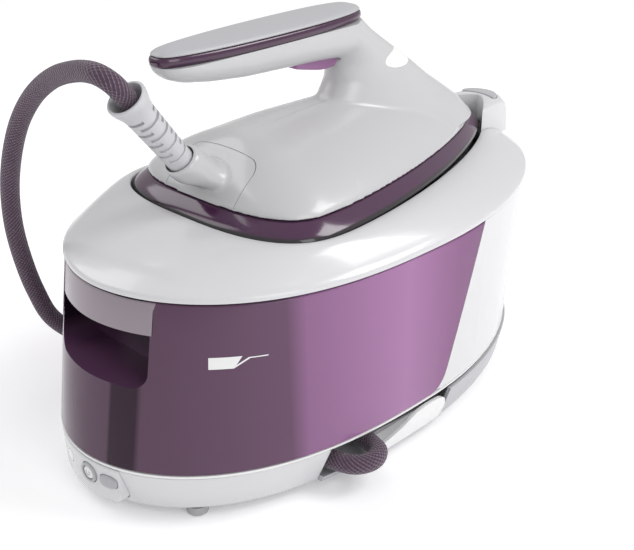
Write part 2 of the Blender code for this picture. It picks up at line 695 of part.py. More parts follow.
def lock_sections(grow=0.0, seat=0.1500):
    """Cross-sections of the housing round the iron's tip, from one end to the other."""
    plan = iron_ring(RECESS, 0.0, GAP, LOCK_COUNT)
    front, rear, half_width = base_sizes(TANK_TOP)
    rim = outline(front, rear, half_width, 0.0, WIDEST_Y, FRONT_POWERS, REAR_POWERS, LOCK_COUNT)
    half = LOCK_COUNT // 2
    low = seat - (0.0003 if grow else 0.0)
    start = -0.0014 if grow else 0.0
    sections, ways = [], []
    for i in range(half - LOCK_REACH, half + LOCK_REACH + 1, 2):
        inner = plan[i]
        outward = rim_point(rim, half + (i - half) * LOCK_NARROWING) - inner
        way = outward.normalized()
        reach = outward.length + grow
        top = LOCK_TOP - 0.0030 * (abs(i - half) / LOCK_REACH) ** 4 + grow
        shape = [(0.0, low), (0.0, top - 0.0010), (0.06, top), (0.76, top), (0.88, top - 0.0020),
                 (0.96, top - 0.0090), (1.0, low + 0.0030), (1.0, low)]
        sections.append([Vector((*(inner + way * (reach * out or start)).xy, z)) for out, z in shape])
        ways.append(way)
    for end, turn in ((0, 1), (-1, -1)):
        away = Vector((ways[end].y, -ways[end].x, 0.0)) * turn * grow
        sections[end] = [point + away for point in sections[end]]
    return sections


def make_lock_housing(cover):
    """Raised housing behind the iron's tip that carries the lock button."""
    cutter = loft("seat", lock_sections(0.0004, 0.1500))
    cut(cover, cutter)
    housing = loft("lock_housing", lock_sections(0.0, 0.1500), "shell_white")
    return housing


# ---------------------------------------------------------------- iron
def make_soleplate():
    """Flat soleplate with a raised edge and steam holes."""
    rings = [iron_ring(BODY_PLAN, SOLE_BOTTOM, -0.0028), iron_ring(BODY_PLAN, SOLE_BOTTOM + 0.0008, -0.0020),
             iron_ring(BODY_PLAN, SOLE_TOP, -0.0020)]
    sole = loft("soleplate", rings, "aluminium")
    for row in range(5):
        for side in (-1, 1):
            x = side * (0.052 - 0.0085 * row)
            y = -0.035 + 0.042 * row
            hole = turned("hole", (x, y, 0.14), (0, 0, 1), [(0, 0.0016), (0.03, 0.0016)], "steel", 8)
            cut(sole, hole)
    return sole


def make_iron_core():
    """Steam chamber and heat shield stacked on the soleplate."""
    chamber = [iron_ring(BODY_PLAN, SOLE_TOP + GAP, -0.0080), iron_ring(BODY_PLAN, CHAMBER_TOP, -0.0090)]
    loft("steam_chamber", chamber, "aluminium")
    shield = [iron_ring(BODY_PLAN, CHAMBER_TOP + GAP, -0.0050), iron_ring(BODY_PLAN, SHIELD_TOP, -0.0042)]
    loft("heat_shield", shield, "black_plastic")


def make_trim_band():
    """Translucent violet band round the foot of the iron's body, leaning inward."""
    rows = ((BAND_LOW, 0.0018), (BAND_LOW + 0.0015, 0.0024), (0.1650, -0.0008), (BAND_TOP, -BODY_INSET),
            (BAND_TOP, -BODY_INSET - 0.0030), (0.1625, -0.0036), (BAND_LOW, -0.0036))
    return loft("trim_band", [iron_ring(BODY_PLAN, z, grow) for z, grow in rows], "deep_violet", closed=True)


def body_ridge(y):
    """Height of the body's centre line."""
    knots = ((-0.080, 0.1880), (-0.070, 0.1950), (-0.040, 0.2030), (0.000, 0.2070), (0.040, 0.2080),
             (0.080, 0.2050), (0.120, 0.1970), (0.150, 0.1880), (0.185, 0.1790))
    if y <= knots[0][0]:
        return knots[0][1]
    for (y0, z0), (y1, z1) in zip(knots, knots[1:]):
        if y <= y1:
            share = (y - y0) / (y1 - y0)
            share = share * share * (3 - 2 * share) * 0.4 + share * 0.6
            return z0 + (z1 - z0) * share
    return knots[-1][1]


def body_dome():
    """Arched body over the band: rings shrink from the band's outline to a centre spine."""
    plan = iron_ring(BODY_PLAN, 0.0, -BODY_INSET)
    low = BAND_TOP + GAP
    rings = [[Vector((p.x, p.y, low)) for p in plan]]
    for shrink in (0.08, 0.20, 0.34, 0.50, 0.68, 0.86):
        ring = []
        for p in plan:
            spine = Vector((0.0, min(max(p.y, -0.045), 0.120), 0.0))
            point = p.lerp(spine, shrink)
            crown = (1 - (1 - shrink) ** 1.6) ** 0.8
            height = low + 0.0010 + (body_ridge(point.y) - low - 0.0010) * crown
            ring.append(Vector((point.x, point.y, height)))
        rings.append(ring)
    return loft("body", rings)


def oval_ring(y0, y1, half, z, count=32, tilt=0.0):
    """Plan oval between two stations, its height rising with y by tilt."""
    ring = []
    middle, reach = (y0 + y1) / 2, (y1 - y0) / 2
    for i in range(count):
        angle = 2 * math.pi * i / count
        x = half * math.copysign(abs(math.sin(angle)) ** 0.9, math.sin(angle))
        y = middle - reach * math.cos(angle)
        ring.append(Vector((x, y, z + tilt * (y - middle))))
    return ring


def neck_solid():
    """Fin that carries the handle over the front of the body."""
    levels = ((0.1750, 0.060, 0.165, 0.036), (0.1880, 0.048, 0.1515, 0.031), (0.1980, 0.024, 0.1370, 0.026),
              (0.2080, 0.027, 0.1210, 0.0225), (0.2180, 0.033, 0.1070, 0.0200), (0.2280, 0.034, 0.0920, 0.0188),
              (0.2380, 0.030, 0.0760, 0.0182), (0.2480, 0.020, 0.0610, 0.0176), (0.2560, 0.000, 0.0528, 0.0170))
    return loft("neck", [oval_ring(y0, y1, half, z) for z, y0, y1, half in levels])


def handle_section(y, half, low, high, count=20):
    """Handle cross-section: flat above, rounded below."""
    ring = []
    for i in range(count):
        angle = 2 * math.pi * i / count
        x = half * math.copysign(abs(math.sin(angle)) ** 0.85, math.sin(angle))
        rise = -math.cos(angle)
        z = low + (high - low) * (0.5 + 0.5 * math.copysign(abs(rise) ** 0.8, rise))
        ring.append(Vector((x, y, z)))
    return ring


def handle_solid():
    """Lower shell of the handle: its free end points to the heel."""
    stations = ((-0.1020, 0.0055, 0.2480), (-0.1003, 0.0095, 0.2460), (-0.0960, 0.0128, 0.2430),
                (-0.0880, 0.0146, 0.2402), (-0.0700, 0.0156, 0.2374), (-0.0450, 0.0166, 0.2352),
                (-0.0150, 0.0172, 0.2345), (0.0150, 0.0175, 0.2335), (0.0400, 0.0176, 0.2320))
    top = HANDLE_SPLIT + 0.0120
    return loft("handle", [handle_section(y, half, low, top) for y, half, low in stations])


def droop(y):
    """How much lower the handle's top is at a station than at its tip end."""
    return HANDLE_DROOP * (HANDLE_TIP_END - y) / (HANDLE_TIP_END - HANDLE_FREE_END)


def above_handle():
    """Everything above the sloping plane that the handle's coloured ring lies on."""
    shape = [(-0.2, HANDLE_SPLIT - droop(-0.2)), (0.2, HANDLE_SPLIT - droop(0.2)), (0.2, 0.4), (-0.2, 0.4)]
    return prism_x("above", shape, -0.1, 0.1)


def heel_fairing(count=32):
    """Sloping root that rises from the body's heel to the strain relief."""
    axis, base = relief_axis()
    across = Vector((0.0, 0.785, 0.62))
    rows = ((Vector((0.0, -0.0580, 0.1763)), Vector((0.0, 1.0, 0.0)), 0.0205, 0.0170),
            (Vector((0.0, -0.0780, 0.1868)), Vector((0.0, 0.93, 0.36)), 0.0138, 0.0128),
            (base + axis * 0.0010, across, 0.0111, 0.0111))
    rings = []
    for centre, way, half_x, half_along in rows:
        angles = [2 * math.pi * i / count for i in range(count)]
        rings.append([centre + Vector((half_x * math.cos(a), 0.0, 0.0)) + way * (half_along * math.sin(a)) for a in angles])
    return loft("fairing", rings)


def heel_panel_box(grow=0.0):
    """Block that splits off the cover over the heel, where the hose enters."""
    shape = [(-0.120, 0.1745 - grow), (-0.0560 + grow, 0.1745 - grow), (-0.0500 + grow, 0.2200), (-0.120, 0.2200)]
    return prism_x("heel_block", shape, -0.0300 - grow, 0.0300 + grow)


def make_iron_housing():
    """White body, neck and lower handle in one moulding, with the heel cover split off."""
    axis, base = relief_axis()
    housing = join(body_dome(), neck_solid(), handle_solid(), heel_fairing())
    housing.name = "iron_housing"
    cut(housing, above_handle())
    pocket = loft("pocket", [iron_ring(BODY_PLAN, 0.16, -0.028), iron_ring(BODY_PLAN, 0.1780, -0.034)])
    cut(housing, pocket)
    heel = clone(housing, "heel_cover")
    common(heel, heel_panel_box(0.0))
    cut(housing, heel_panel_box(0.0003))
    trigger_slot = box("slot", (-0.0078, -0.0060, 0.2264), (0.0078, 0.0341, 0.2440))
    cut(housing, trigger_slot)
    cut(housing, window_band(GAP))
    seat = turned("seat", base - axis * 0.020, axis, [(0, 0.0092), (0.06, 0.0092)], "steel", 24)
    cut(heel, seat)
    seat = turned("seat", base - axis * 0.020, axis, [(0, 0.0092), (0.06, 0.0092)], "steel", 24)
    cut(housing, seat)
    finish(housing, "shell_white")
    finish(heel, "shell_white")
    return housing


def relief_axis():
    """Direction and foot of the strain relief on the heel."""
    axis = Vector((0.0, -0.62, 0.785)).normalized()
    return axis, Vector((0.0, -0.0895, 0.1965))


def make_strain_relief():
    """Flexible tapered sleeve with a flared mouth, clamped in a collar on the heel."""
    axis, base = relief_axis()
    outer = [(-0.0060, 0.0078), (0.0040, 0.0078), (0.0420, 0.0088), (0.0480, 0.0104), (0.0520, 0.0117),
             (0.0540, 0.0117)]
    mouth = [(0.0540, 0.0098), (0.0500, 0.0090), (0.0420, 0.0063)]
    tube("strain_relief", base, axis, outer, 0.0063, "light_grey", 28, mouth)
    collar = [(-0.0100, 0.0089), (-0.0066, 0.0089)]
    tube("hose_collar", base, axis, collar, 0.0040, "mid_grey", 24)


def handle_plan(z, grow=0.0, count=48):
    """Outline of the handle seen from above."""
    ring = []
    length = HANDLE_TIP_END - HANDLE_FREE_END
    middle, reach = (HANDLE_FREE_END + HANDLE_TIP_END) / 2, length / 2 + grow
    for i in range(count):
        angle = 2 * math.pi * i / count
        y = middle - reach * math.copysign(abs(math.cos(angle)) ** 0.9, math.cos(angle))
        taper = 1 - 0.16 * ((HANDLE_TIP_END - y) / length) ** 2
        x = (HANDLE_HALF * taper + grow) * math.copysign(abs(math.sin(angle)) ** 0.62, math.sin(angle))
        ring.append(Vector((x, y, z - droop(y))))
    return ring


def make_handle_top():
    """Violet ring and white cap that close the handle from above."""
    middle = (HANDLE_SPLIT + HANDLE_RING_TOP) / 2
    ring = [handle_plan(HANDLE_SPLIT + GAP, 0.0), handle_plan(middle, 0.0005), handle_plan(HANDLE_RING_TOP, 0.0)]
    loft("handle_ring", ring, "deep_violet")
    rows = ((HANDLE_RING_TOP + GAP, -0.0004), (HANDLE_TOP - 0.0026, -0.0016), (HANDLE_TOP - 0.0010, -0.0048),
            (HANDLE_TOP, -0.0110))
    cap = [handle_plan(z, grow) for z, grow in rows]
    loft("handle_cover", cap, "light_grey")


def make_trigger():
    """Translucent violet steam trigger under the handle, hinged at its neck end."""
    top = [(-0.0040, 0.2385), (0.0332, 0.2385), (0.0332, 0.2345)]
    under = bezier((0.0300, 0.2290), (0.0220, 0.2272), (0.0130, 0.2290), 4)
    tip = bezier((0.0130, 0.2290), (0.0000, 0.2315), (-0.0040, 0.2325), 3)[1:]
    trigger = prism_x("steam_trigger", top + under + tip, -0.0070, 0.0070, "tank_violet")
    bevel(trigger, 0.0010, 1)
    finish(trigger, "tank_violet")
    bore = turned("bore", (-0.02, 0.0300, 0.2355), (1, 0, 0), [(0, 0.0013), (0.04, 0.0013)], "steel", 24)
    cut(trigger, bore)
    turned("trigger_pin", (-0.0074, 0.0300, 0.2355), (1, 0, 0), [(0, 0.0009), (0.0148, 0.0009)], "steel", 24)
    box("trigger_switch", (-0.0045, 0.0120, 0.2402), (0.0045, 0.0260, 0.2436), "black_plastic")


def window_band(grow):
    """Band that wraps the neck's rear ridge from side to side."""
    low, high = 0.2218 - grow, 0.2325 + grow
    shape = [(0.0670 - grow, 0.2240), (0.0700, low), (0.1300, low), (0.1300, high), (0.0800, high), (0.0760 - grow, 0.2312)]
    band = prism_x("band", shape, -0.03, 0.03)
    return cut(band, box("core", (grow - 0.0125, 0.0, 0.20), (0.0125 - grow, 0.0800 - grow, 0.25)))


def make_light_window():
    """Milky window round the neck's ridge that shows when steam is ready."""
    window = neck_solid()
    window.name = "light_window"
    common(window, window_band(0.0))
    return finish(window, "lamp_white")


# ---------------------------------------------------------------- carry lock button and latch
def lock_oblong(name, grow, low, high, colour="light_grey"):
    """Upright oval block round the lock button's middle, its upper edge eased."""
    half_x, half_y = LOCK_HALF[0] + grow, LOCK_HALF[1] + grow
    profile = [(0.0, half_x), (high - low - 0.0006, half_x), (high - low, half_x - 0.0006)]
    block = turned(name, (0.0, 0.0, low), (0, 0, 1), profile, colour, 32, half_y / half_x, 0.75)
    for vertex in block.data.vertices:
        vertex.co.y += LOCK_CENTRE_Y - LOCK_BEND * vertex.co.x ** 2
    return block


def make_lock_parts(housing):
    """Release button in the lock housing, and the latch bolt that it drives."""
    cut(housing, lock_oblong("pocket", 0.0005, 0.1685, 0.1900))
    lock_oblong("lock_button", 0.0, 0.1724, LOCK_TOP + 0.0008)
    channel = box("channel", (-0.0053, 0.1850, 0.1537), (0.0053, 0.2050, 0.1577))
    cut(housing, channel)
    box("lock_latch", (-0.0050, 0.1921, 0.1540), (0.0050, 0.2030, 0.1568), "mid_grey")


# ---------------------------------------------------------------- steam hose
HOSE_ROUTE = (
    (0.000, -0.1205, 0.2357), (0.000, -0.1290, 0.2466), (-0.0050, -0.1330, 0.2512), (-0.0160, -0.1330, 0.2515),
    (-0.0350, -0.1310, 0.2477), (-0.0584, -0.1290, 0.2393), (-0.0812, -0.1285, 0.2247), (-0.0980, -0.1295, 0.2059),
    (-0.1090, -0.1310, 0.1833), (-0.1171, -0.1310, 0.1586), (-0.1195, -0.1303, 0.1335), (-0.1205, -0.1261, 0.1068),
    (-0.1210, -0.1200, 0.0836), (-0.1205, -0.1111, 0.0613), (-0.1185, -0.0900, 0.0395), (-0.1140, -0.0640, 0.0265),
    (-0.1060, -0.0380, 0.0216),
    (-0.0940, -0.0120, 0.0212), (-0.0850, 0.0150, 0.0212), (-0.0810, 0.0450, 0.0212), (-0.0700, 0.0850, 0.0212),
    (-0.0400, 0.1160, 0.0212), (0.0000, 0.1270, 0.0212), (0.0400, 0.1160, 0.0212), (0.0700, 0.0850, 0.0212),
    (0.0810, 0.0450, 0.0212), (0.0805, 0.0100, 0.0214), (0.0800, -0.0150, 0.0222), (0.0850, -0.0280, 0.0235),
    (0.0960, -0.0320, 0.0242), (0.1052, -0.0358, 0.0245), (0.1090, -0.0450, 0.0245), (0.1052, -0.0545, 0.0245),
    (0.0960, -0.0588, 0.0240), (0.0800, -0.0595, 0.0226), (0.0400, -0.0595, 0.0214), (0.0000, -0.0595, 0.0212),
    (-0.0300, -0.0585, 0.0212), (-0.0520, -0.0480, 0.0212), (-0.0620, -0.0250, 0.0212), (-0.0625, 0.0100, 0.0212),
    (-0.0610, 0.0450, 0.0212), (-0.0500, 0.0800, 0.0212), (-0.0270, 0.1000, 0.0212), (0.0000, 0.1070, 0.0212),
    (0.0270, 0.1000, 0.0212), (0.0500, 0.0800, 0.0212), (0.0610, 0.0500, 0.0214), (0.0620, 0.0300, 0.0222),
    (0.0620, 0.0104, 0.0228),
)
HOSE_POINTS = 80


def smooth_route(route, count):
    """Evenly spaced points on a centripetal curve through the route."""
    points = [Vector(p) for p in route]
    padded = [2 * points[0] - points[1]] + points + [2 * points[-1] - points[-2]]
    dense = []
    for a, b, c, d in zip(padded, padded[1:], padded[2:], padded[3:]):
        for step in range(16):
            dense.append(curve_point(a, b, c, d, step / 16))
    dense.append(points[-1])
    return even_points(dense, count)


def curve_point(a, b, c, d, t):
    """Point between b and c on a Catmull-Rom curve with centripetal knots."""
    k1 = (b - a).length ** 0.5
    k2 = k1 + (c - b).length ** 0.5
    k3 = k2 + (d - c).length ** 0.5
    k = k1 + (k2 - k1) * t
    p = a.lerp(b, k / k1)
    q = b.lerp(c, (k - k1) / (k2 - k1))
    r = c.lerp(d, (k - k2) / (k3 - k2))
    u = p.lerp(q, k / k2)
    v = q.lerp(r, (k - k1) / (k3 - k1))
    return u.lerp(v, (k - k1) / (k2 - k1))


def even_points(dense, count):
    lengths = [0.0]
    for a, b in zip(dense, dense[1:]):
        lengths.append(lengths[-1] + (b - a).length)
    result = []
    index = 0
    for step in range(count):
        want = lengths[-1] * step / (count - 1)
        while index < len(dense) - 2 and lengths[index + 1] < want:
            index += 1
        span = lengths[index + 1] - lengths[index]
        result.append(dense[index].lerp(dense[index + 1], (want - lengths[index]) / span))
    return result


def make_hose():
    return cable("steam_hose", smooth_route(HOSE_ROUTE, HOSE_POINTS), HOSE_RADIUS, "hose_violet", 3)


# ---------------------------------------------------------------- joints: origins and parents
def move_origin(obj, point):
    """Put an object's origin at a world point without moving its mesh."""
    obj.data.transform(Matrix.Translation(-Vector(point)))
    obj.location = Vector(point)


def body_frame(name, point, members):
    """Empty on a joint's axis that carries the pieces of one moving body."""
    frame = bpy.data.objects.new(name, None)
    frame.location = Vector(point)
    bpy.context.scene.collection.objects.link(frame)
    for member in members:
        piece = bpy.data.objects[member]
        piece.parent = frame
        piece.matrix_parent_inverse = Matrix.Translation(-Vector(point))
    return frame


def set_joints():
    move_origin(bpy.data.objects["steam_trigger"], (0.0, 0.0300, 0.2355))
    for name, label in (("power_button", "power"), ("power_ring", "power"), ("oval_button", "oval")):
        move_origin(bpy.data.objects[name], control_point(label))
    move_origin(bpy.data.objects["lock_button"], (0.0, LOCK_CENTRE_Y, 0.1724))
    move_origin(bpy.data.objects["lock_latch"], (0.0, LOCK_CENTRE_Y, 0.1554))
    body_frame("tank_slide_frame", (0.0, FRAME_FRONT, TANK_BOTTOM),
               ("water_tank", "tank_lid", "tank_cap", "tank_valve"))
    body_frame("iron_lift_frame", (0.0, 0.0, SOLE_BOTTOM),
               ("soleplate", "steam_chamber", "heat_shield", "trim_band", "iron_housing", "heel_cover",
                "strain_relief", "hose_collar", "handle_ring", "handle_cover", "light_window", "steam_trigger",
                "trigger_pin", "trigger_switch"))


def centre_on_origin():
    """Move the whole object so that it stands on z = 0 with its box centred over the origin."""
    for item in bpy.data.objects:
        if item.parent is None:
            item.location.y -= CENTRE_Y
            item.location.z -= FLOOR_Z


def main():
    clear_scene()
    make_feet()
    make_tray()
    make_clip()
    skirt = make_skirt()
    make_slot_wall()
    make_deck()
    make_support()
    make_hose_outlet()
    make_controls(skirt)
    make_tank()
    make_tank_lid()
    make_tank_fittings()
    make_rear_shell()
    make_mains_gland()
    make_inner_frame()
    make_internals()
    cover = make_top_cover()
    make_rest_plate()
    make_rest_pads()
    lock = make_lock_housing(cover)
    make_lock_parts(lock)
    make_soleplate()
    make_iron_core()
    make_trim_band()
    make_iron_housing()
    make_strain_relief()
    make_handle_top()
    make_trigger()
    make_light_window()
    make_hose()
    set_joints()
    centre_on_origin()


main()
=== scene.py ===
"""Steam generator iron: the visible surfaces, materials, camera and lights."""
import math

import bmesh
import bpy
from mathutils import Matrix, Vector


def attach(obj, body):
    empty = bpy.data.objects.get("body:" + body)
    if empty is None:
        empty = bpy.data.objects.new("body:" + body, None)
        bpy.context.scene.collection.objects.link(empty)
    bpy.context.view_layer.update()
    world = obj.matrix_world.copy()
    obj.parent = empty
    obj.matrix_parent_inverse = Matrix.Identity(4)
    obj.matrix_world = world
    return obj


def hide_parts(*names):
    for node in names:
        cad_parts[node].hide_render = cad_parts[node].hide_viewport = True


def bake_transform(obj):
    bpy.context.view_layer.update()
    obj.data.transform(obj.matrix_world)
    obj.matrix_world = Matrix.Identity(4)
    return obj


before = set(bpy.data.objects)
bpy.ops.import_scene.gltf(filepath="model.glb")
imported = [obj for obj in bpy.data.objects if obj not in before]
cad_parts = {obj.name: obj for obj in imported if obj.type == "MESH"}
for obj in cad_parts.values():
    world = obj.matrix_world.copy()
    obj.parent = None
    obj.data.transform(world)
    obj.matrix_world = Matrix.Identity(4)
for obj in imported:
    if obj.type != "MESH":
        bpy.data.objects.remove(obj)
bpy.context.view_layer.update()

# ---------------------------------------------------------------- dimensions shared with the CAD model
CENTRE_Y = 0.0187
FLOOR_Z = 0.0045
WIDEST_Y = 0.0164
FRONT_POWERS = (1.92, 2.79)
REAR_POWERS = (1.8, 2.0)
BASE_LEVELS = {
    0.006: (-0.1609, 0.1988, 0.0896),
    0.0108: (-0.1623, 0.196, 0.0916),
    0.0405: (-0.171, 0.1905, 0.1042),
    0.1415: (-0.155, 0.209, 0.1042),
}
TRAY_LEVELS = {
    0.006: (-0.1609, 0.1995, 0.093),
    0.0108: (-0.1623, 0.1985, 0.095),
    0.0405: (-0.171, 0.1975, 0.105),
}
RECESS = (-0.0895, 0.1915, 0.0815)
BODY_PLAN = (-0.0855, 0.1855, 0.078)
IRON_WIDEST_Y = -0.04
IRON_HEEL_POWERS = (2.9, 2.7)
IRON_TIP_POWERS = (1.42, 1.5)
SLOT_FRONT = -0.068
TANK_BOTTOM = 0.0406
TANK_TOP = 0.1412
COVER_BOTTOM = 0.1425
RIM_LEVEL = 0.1415             # level whose outline the cover's rim follows
WALL = 0.0025
GAP = 0.0004
GRIP_HALF = 0.0395
GRIP_LOW = 0.0905
GRIP_HIGH = 0.1225
GRIP_BACK = -0.13
BAR_HALF = 0.0405              # of the bar over the grip recess, painted paler as a reflection
FRAME_HALF = 0.05
FRAME_FRONT = -0.1035
FRAME_REAR = 0.1
BAND_LOW = 0.159
BAND_TOP = 0.1695
BODY_INSET = 0.0058
HANDLE_HALF = 0.0178
HANDLE_FREE_END = -0.103
HANDLE_TIP_END = 0.053
HANDLE_SPLIT = 0.2546
HANDLE_RING_TOP = 0.26
HANDLE_DROOP = 0.0038
HOSE_RADIUS = 0.0059
FOOT_HEIGHT = 0.0108
PANEL_FOOT = (-0.17, 0.1905, 0.103)
PANEL_LEFT = -0.04
PANEL_RIGHT = 0.0245
PANEL_LOW = 0.0135
CONTROL_HEIGHT = 0.0282
CONTROLS = {                  # x, radius across, height over width, corner fullness
    "lamp": (-0.0195, 0.0032, 1.0, 0.7),
    "power": (0.0022, 0.0064, 1.0, 1.0),
    "oval": (0.0178, 0.0062, 0.66, 0.75),
}
CONTROL_DEPTH = 0.0045
CONTROL_GAP = 0.0004
BUTTON_RADIUS = 0.0042
LOCK_CENTRE_Y = 0.199
LOCK_HALF = (0.0145, 0.0052)
LOCK_TOP = 0.1765
LOCK_NARROWING = 0.55
LOCK_BEND = 28.0
LOCK_REACH = 12               # of FINE outline points on each side of the tip
FINE = 192                    # points round a large visible outline

CAMERA_PLACE = (0.4415, -0.4372, 0.3926)
CAMERA_AXES = ((0.7197, 0.6942, 0.0), (-0.3006, 0.3117, 0.9014), (0.6258, -0.6488, 0.4331))  # right, up, back
CAMERA_LENS = 59.755          # mm
PICTURE_SIZE = (634, 550)
WORLD_STRENGTH = 0.64

HOSE_ROUTE = (
    (0.0, -0.1205, 0.2357), (0.0, -0.129, 0.2466), (-0.005, -0.133, 0.2512), (-0.016, -0.133, 0.2515),
    (-0.035, -0.131, 0.2477), (-0.0584, -0.129, 0.2393), (-0.0812, -0.1285, 0.2247),
    (-0.098, -0.1295, 0.2059), (-0.109, -0.131, 0.1833), (-0.1171, -0.131, 0.1586),
    (-0.1195, -0.1303, 0.1335), (-0.1205, -0.1261, 0.1068), (-0.121, -0.12, 0.0836),
    (-0.1205, -0.1111, 0.0613), (-0.1185, -0.09, 0.0395), (-0.114, -0.064, 0.0265),
    (-0.106, -0.038, 0.0216), (-0.094, -0.012, 0.0212), (-0.085, 0.015, 0.0212), (-0.081, 0.045, 0.0212),
    (-0.07, 0.085, 0.0212), (-0.04, 0.116, 0.0212), (0.0, 0.127, 0.0212), (0.04, 0.116, 0.0212),
    (0.07, 0.085, 0.0212), (0.081, 0.045, 0.0212), (0.0805, 0.01, 0.0214), (0.08, -0.015, 0.0222),
    (0.085, -0.028, 0.0235), (0.096, -0.032, 0.0242), (0.1052, -0.0358, 0.0245), (0.109, -0.045, 0.0245),
    (0.1052, -0.0545, 0.0245), (0.096, -0.0588, 0.024), (0.08, -0.0595, 0.0226), (0.04, -0.0595, 0.0214),
    (0.0, -0.0595, 0.0212), (-0.03, -0.0585, 0.0212), (-0.052, -0.048, 0.0212), (-0.062, -0.025, 0.0212),
    (-0.0625, 0.01, 0.0212), (-0.061, 0.045, 0.0212), (-0.05, 0.08, 0.0212), (-0.027, 0.1, 0.0212),
    (0.0, 0.107, 0.0212), (0.027, 0.1, 0.0212), (0.05, 0.08, 0.0212), (0.061, 0.05, 0.0214),
    (0.062, 0.03, 0.0222), (0.062, 0.0104, 0.0228),
)


# ---------------------------------------------------------------- shader helpers
class Shader:
    """A new material with a Principled shader and short calls for its nodes."""

    def __init__(self, name, colour, roughness, metallic=0.0, **sockets):
        self.material = bpy.data.materials.new(name)
        self.material.use_nodes = True
        self.tree = self.material.node_tree
        self.bsdf = self.tree.nodes["Principled BSDF"]
        self.set("Base Color", (*colour, 1.0))
        self.set("Roughness", roughness)
        self.set("Metallic", metallic)
        for key, value in sockets.items():
            self.set(key.replace("_", " "), value)

    def set(self, socket, value):
        if hasattr(value, "is_output"):
            self.tree.links.new(value, self.bsdf.inputs[socket])
        else:
            self.bsdf.inputs[socket].default_value = value

    def feed(self, socket, value):
        if hasattr(value, "is_output"):
            self.tree.links.new(value, socket)
        else:
            socket.default_value = value

    def maths(self, operation, a, b=0.0):
        node = self.tree.nodes.new("ShaderNodeMath")
        node.operation = operation
        self.feed(node.inputs[0], a)
        self.feed(node.inputs[1], b)
        return node.outputs[0]

    def place(self, kind="Object"):
        return self.tree.nodes.new("ShaderNodeTexCoord").outputs[kind]

    def noise(self, scale, detail=3.0, vector=None):
        node = self.tree.nodes.new("ShaderNodeTexNoise")
        node.inputs["Scale"].default_value = scale
        node.inputs["Detail"].default_value = detail
        self.tree.links.new(vector or self.place(), node.inputs["Vector"])
        return node.outputs["Fac"]

    def ramp(self, value, low, high, low_colour, high_colour):
        node = self.tree.nodes.new("ShaderNodeValToRGB")
        node.color_ramp.elements[0].position = low
        node.color_ramp.elements[1].position = high
        node.color_ramp.elements[0].color = (*low_colour, 1.0)
        node.color_ramp.elements[1].color = (*high_colour, 1.0)
        self.feed(node.inputs[0], value)
        return node.outputs[0]

    def between(self, value, start, end):
        """Rises from 0 to 1 while the value goes from start to end."""
        node = self.tree.nodes.new("ShaderNodeMapRange")
        self.feed(node.inputs[0], value)
        self.feed(node.inputs[1], start)
        self.feed(node.inputs[2], end)
        return node.outputs[0]

    def mix(self, share, colour, other):
        node = self.tree.nodes.new("ShaderNodeMixRGB")
        self.feed(node.inputs[0], share)
        self.feed(node.inputs[1], colour)
        self.feed(node.inputs[2], (*other, 1.0))
        return node.outputs[0]

    def bump(self, height, distance, strength=1.0):
        node = self.tree.nodes.new("ShaderNodeBump")
        node.inputs["Strength"].default_value = strength
        node.inputs["Distance"].default_value = distance
        self.feed(node.inputs["Height"], height)
        self.set("Normal", node.outputs[0])
        return self


def plastic(name, colour, roughness, grain=0.00001, **sockets):
    """Moulded plastic: faint waviness and a slightly uneven gloss."""
    made = Shader(name, colour, roughness, **sockets)
    cloud = made.noise(45.0, 2.0)
    made.set("Roughness", made.maths("ADD", made.maths("MULTIPLY", cloud, 0.06), roughness - 0.03))
    return made.bump(made.noise(900.0, 2.0), grain).material


def tank_painted_light_look(name):
    """Tinted translucent plastic with painted light: darker towards the front and beside the parting line, a
    painted glow in the middle and a painted shadow band at the front.
    """
    made = Shader(name, (0.2, 0.11, 0.19), 0.08, Transmission_Weight=0.15, IOR=1.45,
                  Specular_IOR_Level=0.22)
    split = made.tree.nodes.new("ShaderNodeSeparateXYZ")
    made.feed(split.inputs[0], made.place())
    along = made.maths("MULTIPLY", made.maths("ADD", split.outputs[1], 0.19), 3.85)
    # painted light: colour runs dark at the front, lightens to a painted glow through the middle, darkens
    # again by the parting line
    node = made.tree.nodes.new("ShaderNodeValToRGB")
    made.feed(node.inputs[0], along)
    stops = ((0.0, (0.1, 0.052, 0.09)), (0.3, (0.14, 0.072, 0.13)), (0.34, (0.27, 0.13, 0.262)),
             (0.62, (0.38, 0.185, 0.37)), (0.8, (0.25, 0.105, 0.238)), (1.0, (0.14, 0.055, 0.135)))
    for place, colour in stops[1:-1]:
        node.color_ramp.elements.new(place).color = (*colour, 1.0)
    node.color_ramp.elements[0].color = (*stops[0][1], 1.0)
    node.color_ramp.elements[len(stops) - 1].color = (*stops[-1][1], 1.0)
    # painted shadow: a near-black band down the front face, right of the middle
    shade = made.maths("MULTIPLY", made.between(split.outputs[0], 0.017, 0.019),
                       made.between(split.outputs[0], 0.037, 0.034))
    shade = made.maths("MULTIPLY", shade, made.between(split.outputs[1], -0.1, -0.12))
    made.set("Base Color", made.mix(shade, node.outputs[0], (0.028, 0.009, 0.024)))
    return made.material


def recess_shade_look(name):
    """Painted shade in the finger recess: deep violet that darkens from the recess's floor upward."""
    made = Shader(name, (0.02, 0.008, 0.02), 0.25)
    split = made.tree.nodes.new("ShaderNodeSeparateXYZ")
    made.feed(split.inputs[0], made.place())
    rise = made.maths("MULTIPLY", made.maths("SUBTRACT", split.outputs[2], GRIP_LOW - FLOOR_Z), 30.0)
    # painted shade: deep violet at the recess floor, near black higher up
    made.set("Base Color", made.ramp(rise, 0.02, 0.45, (0.085, 0.036, 0.08), (0.01, 0.004, 0.01)))
    return made.material


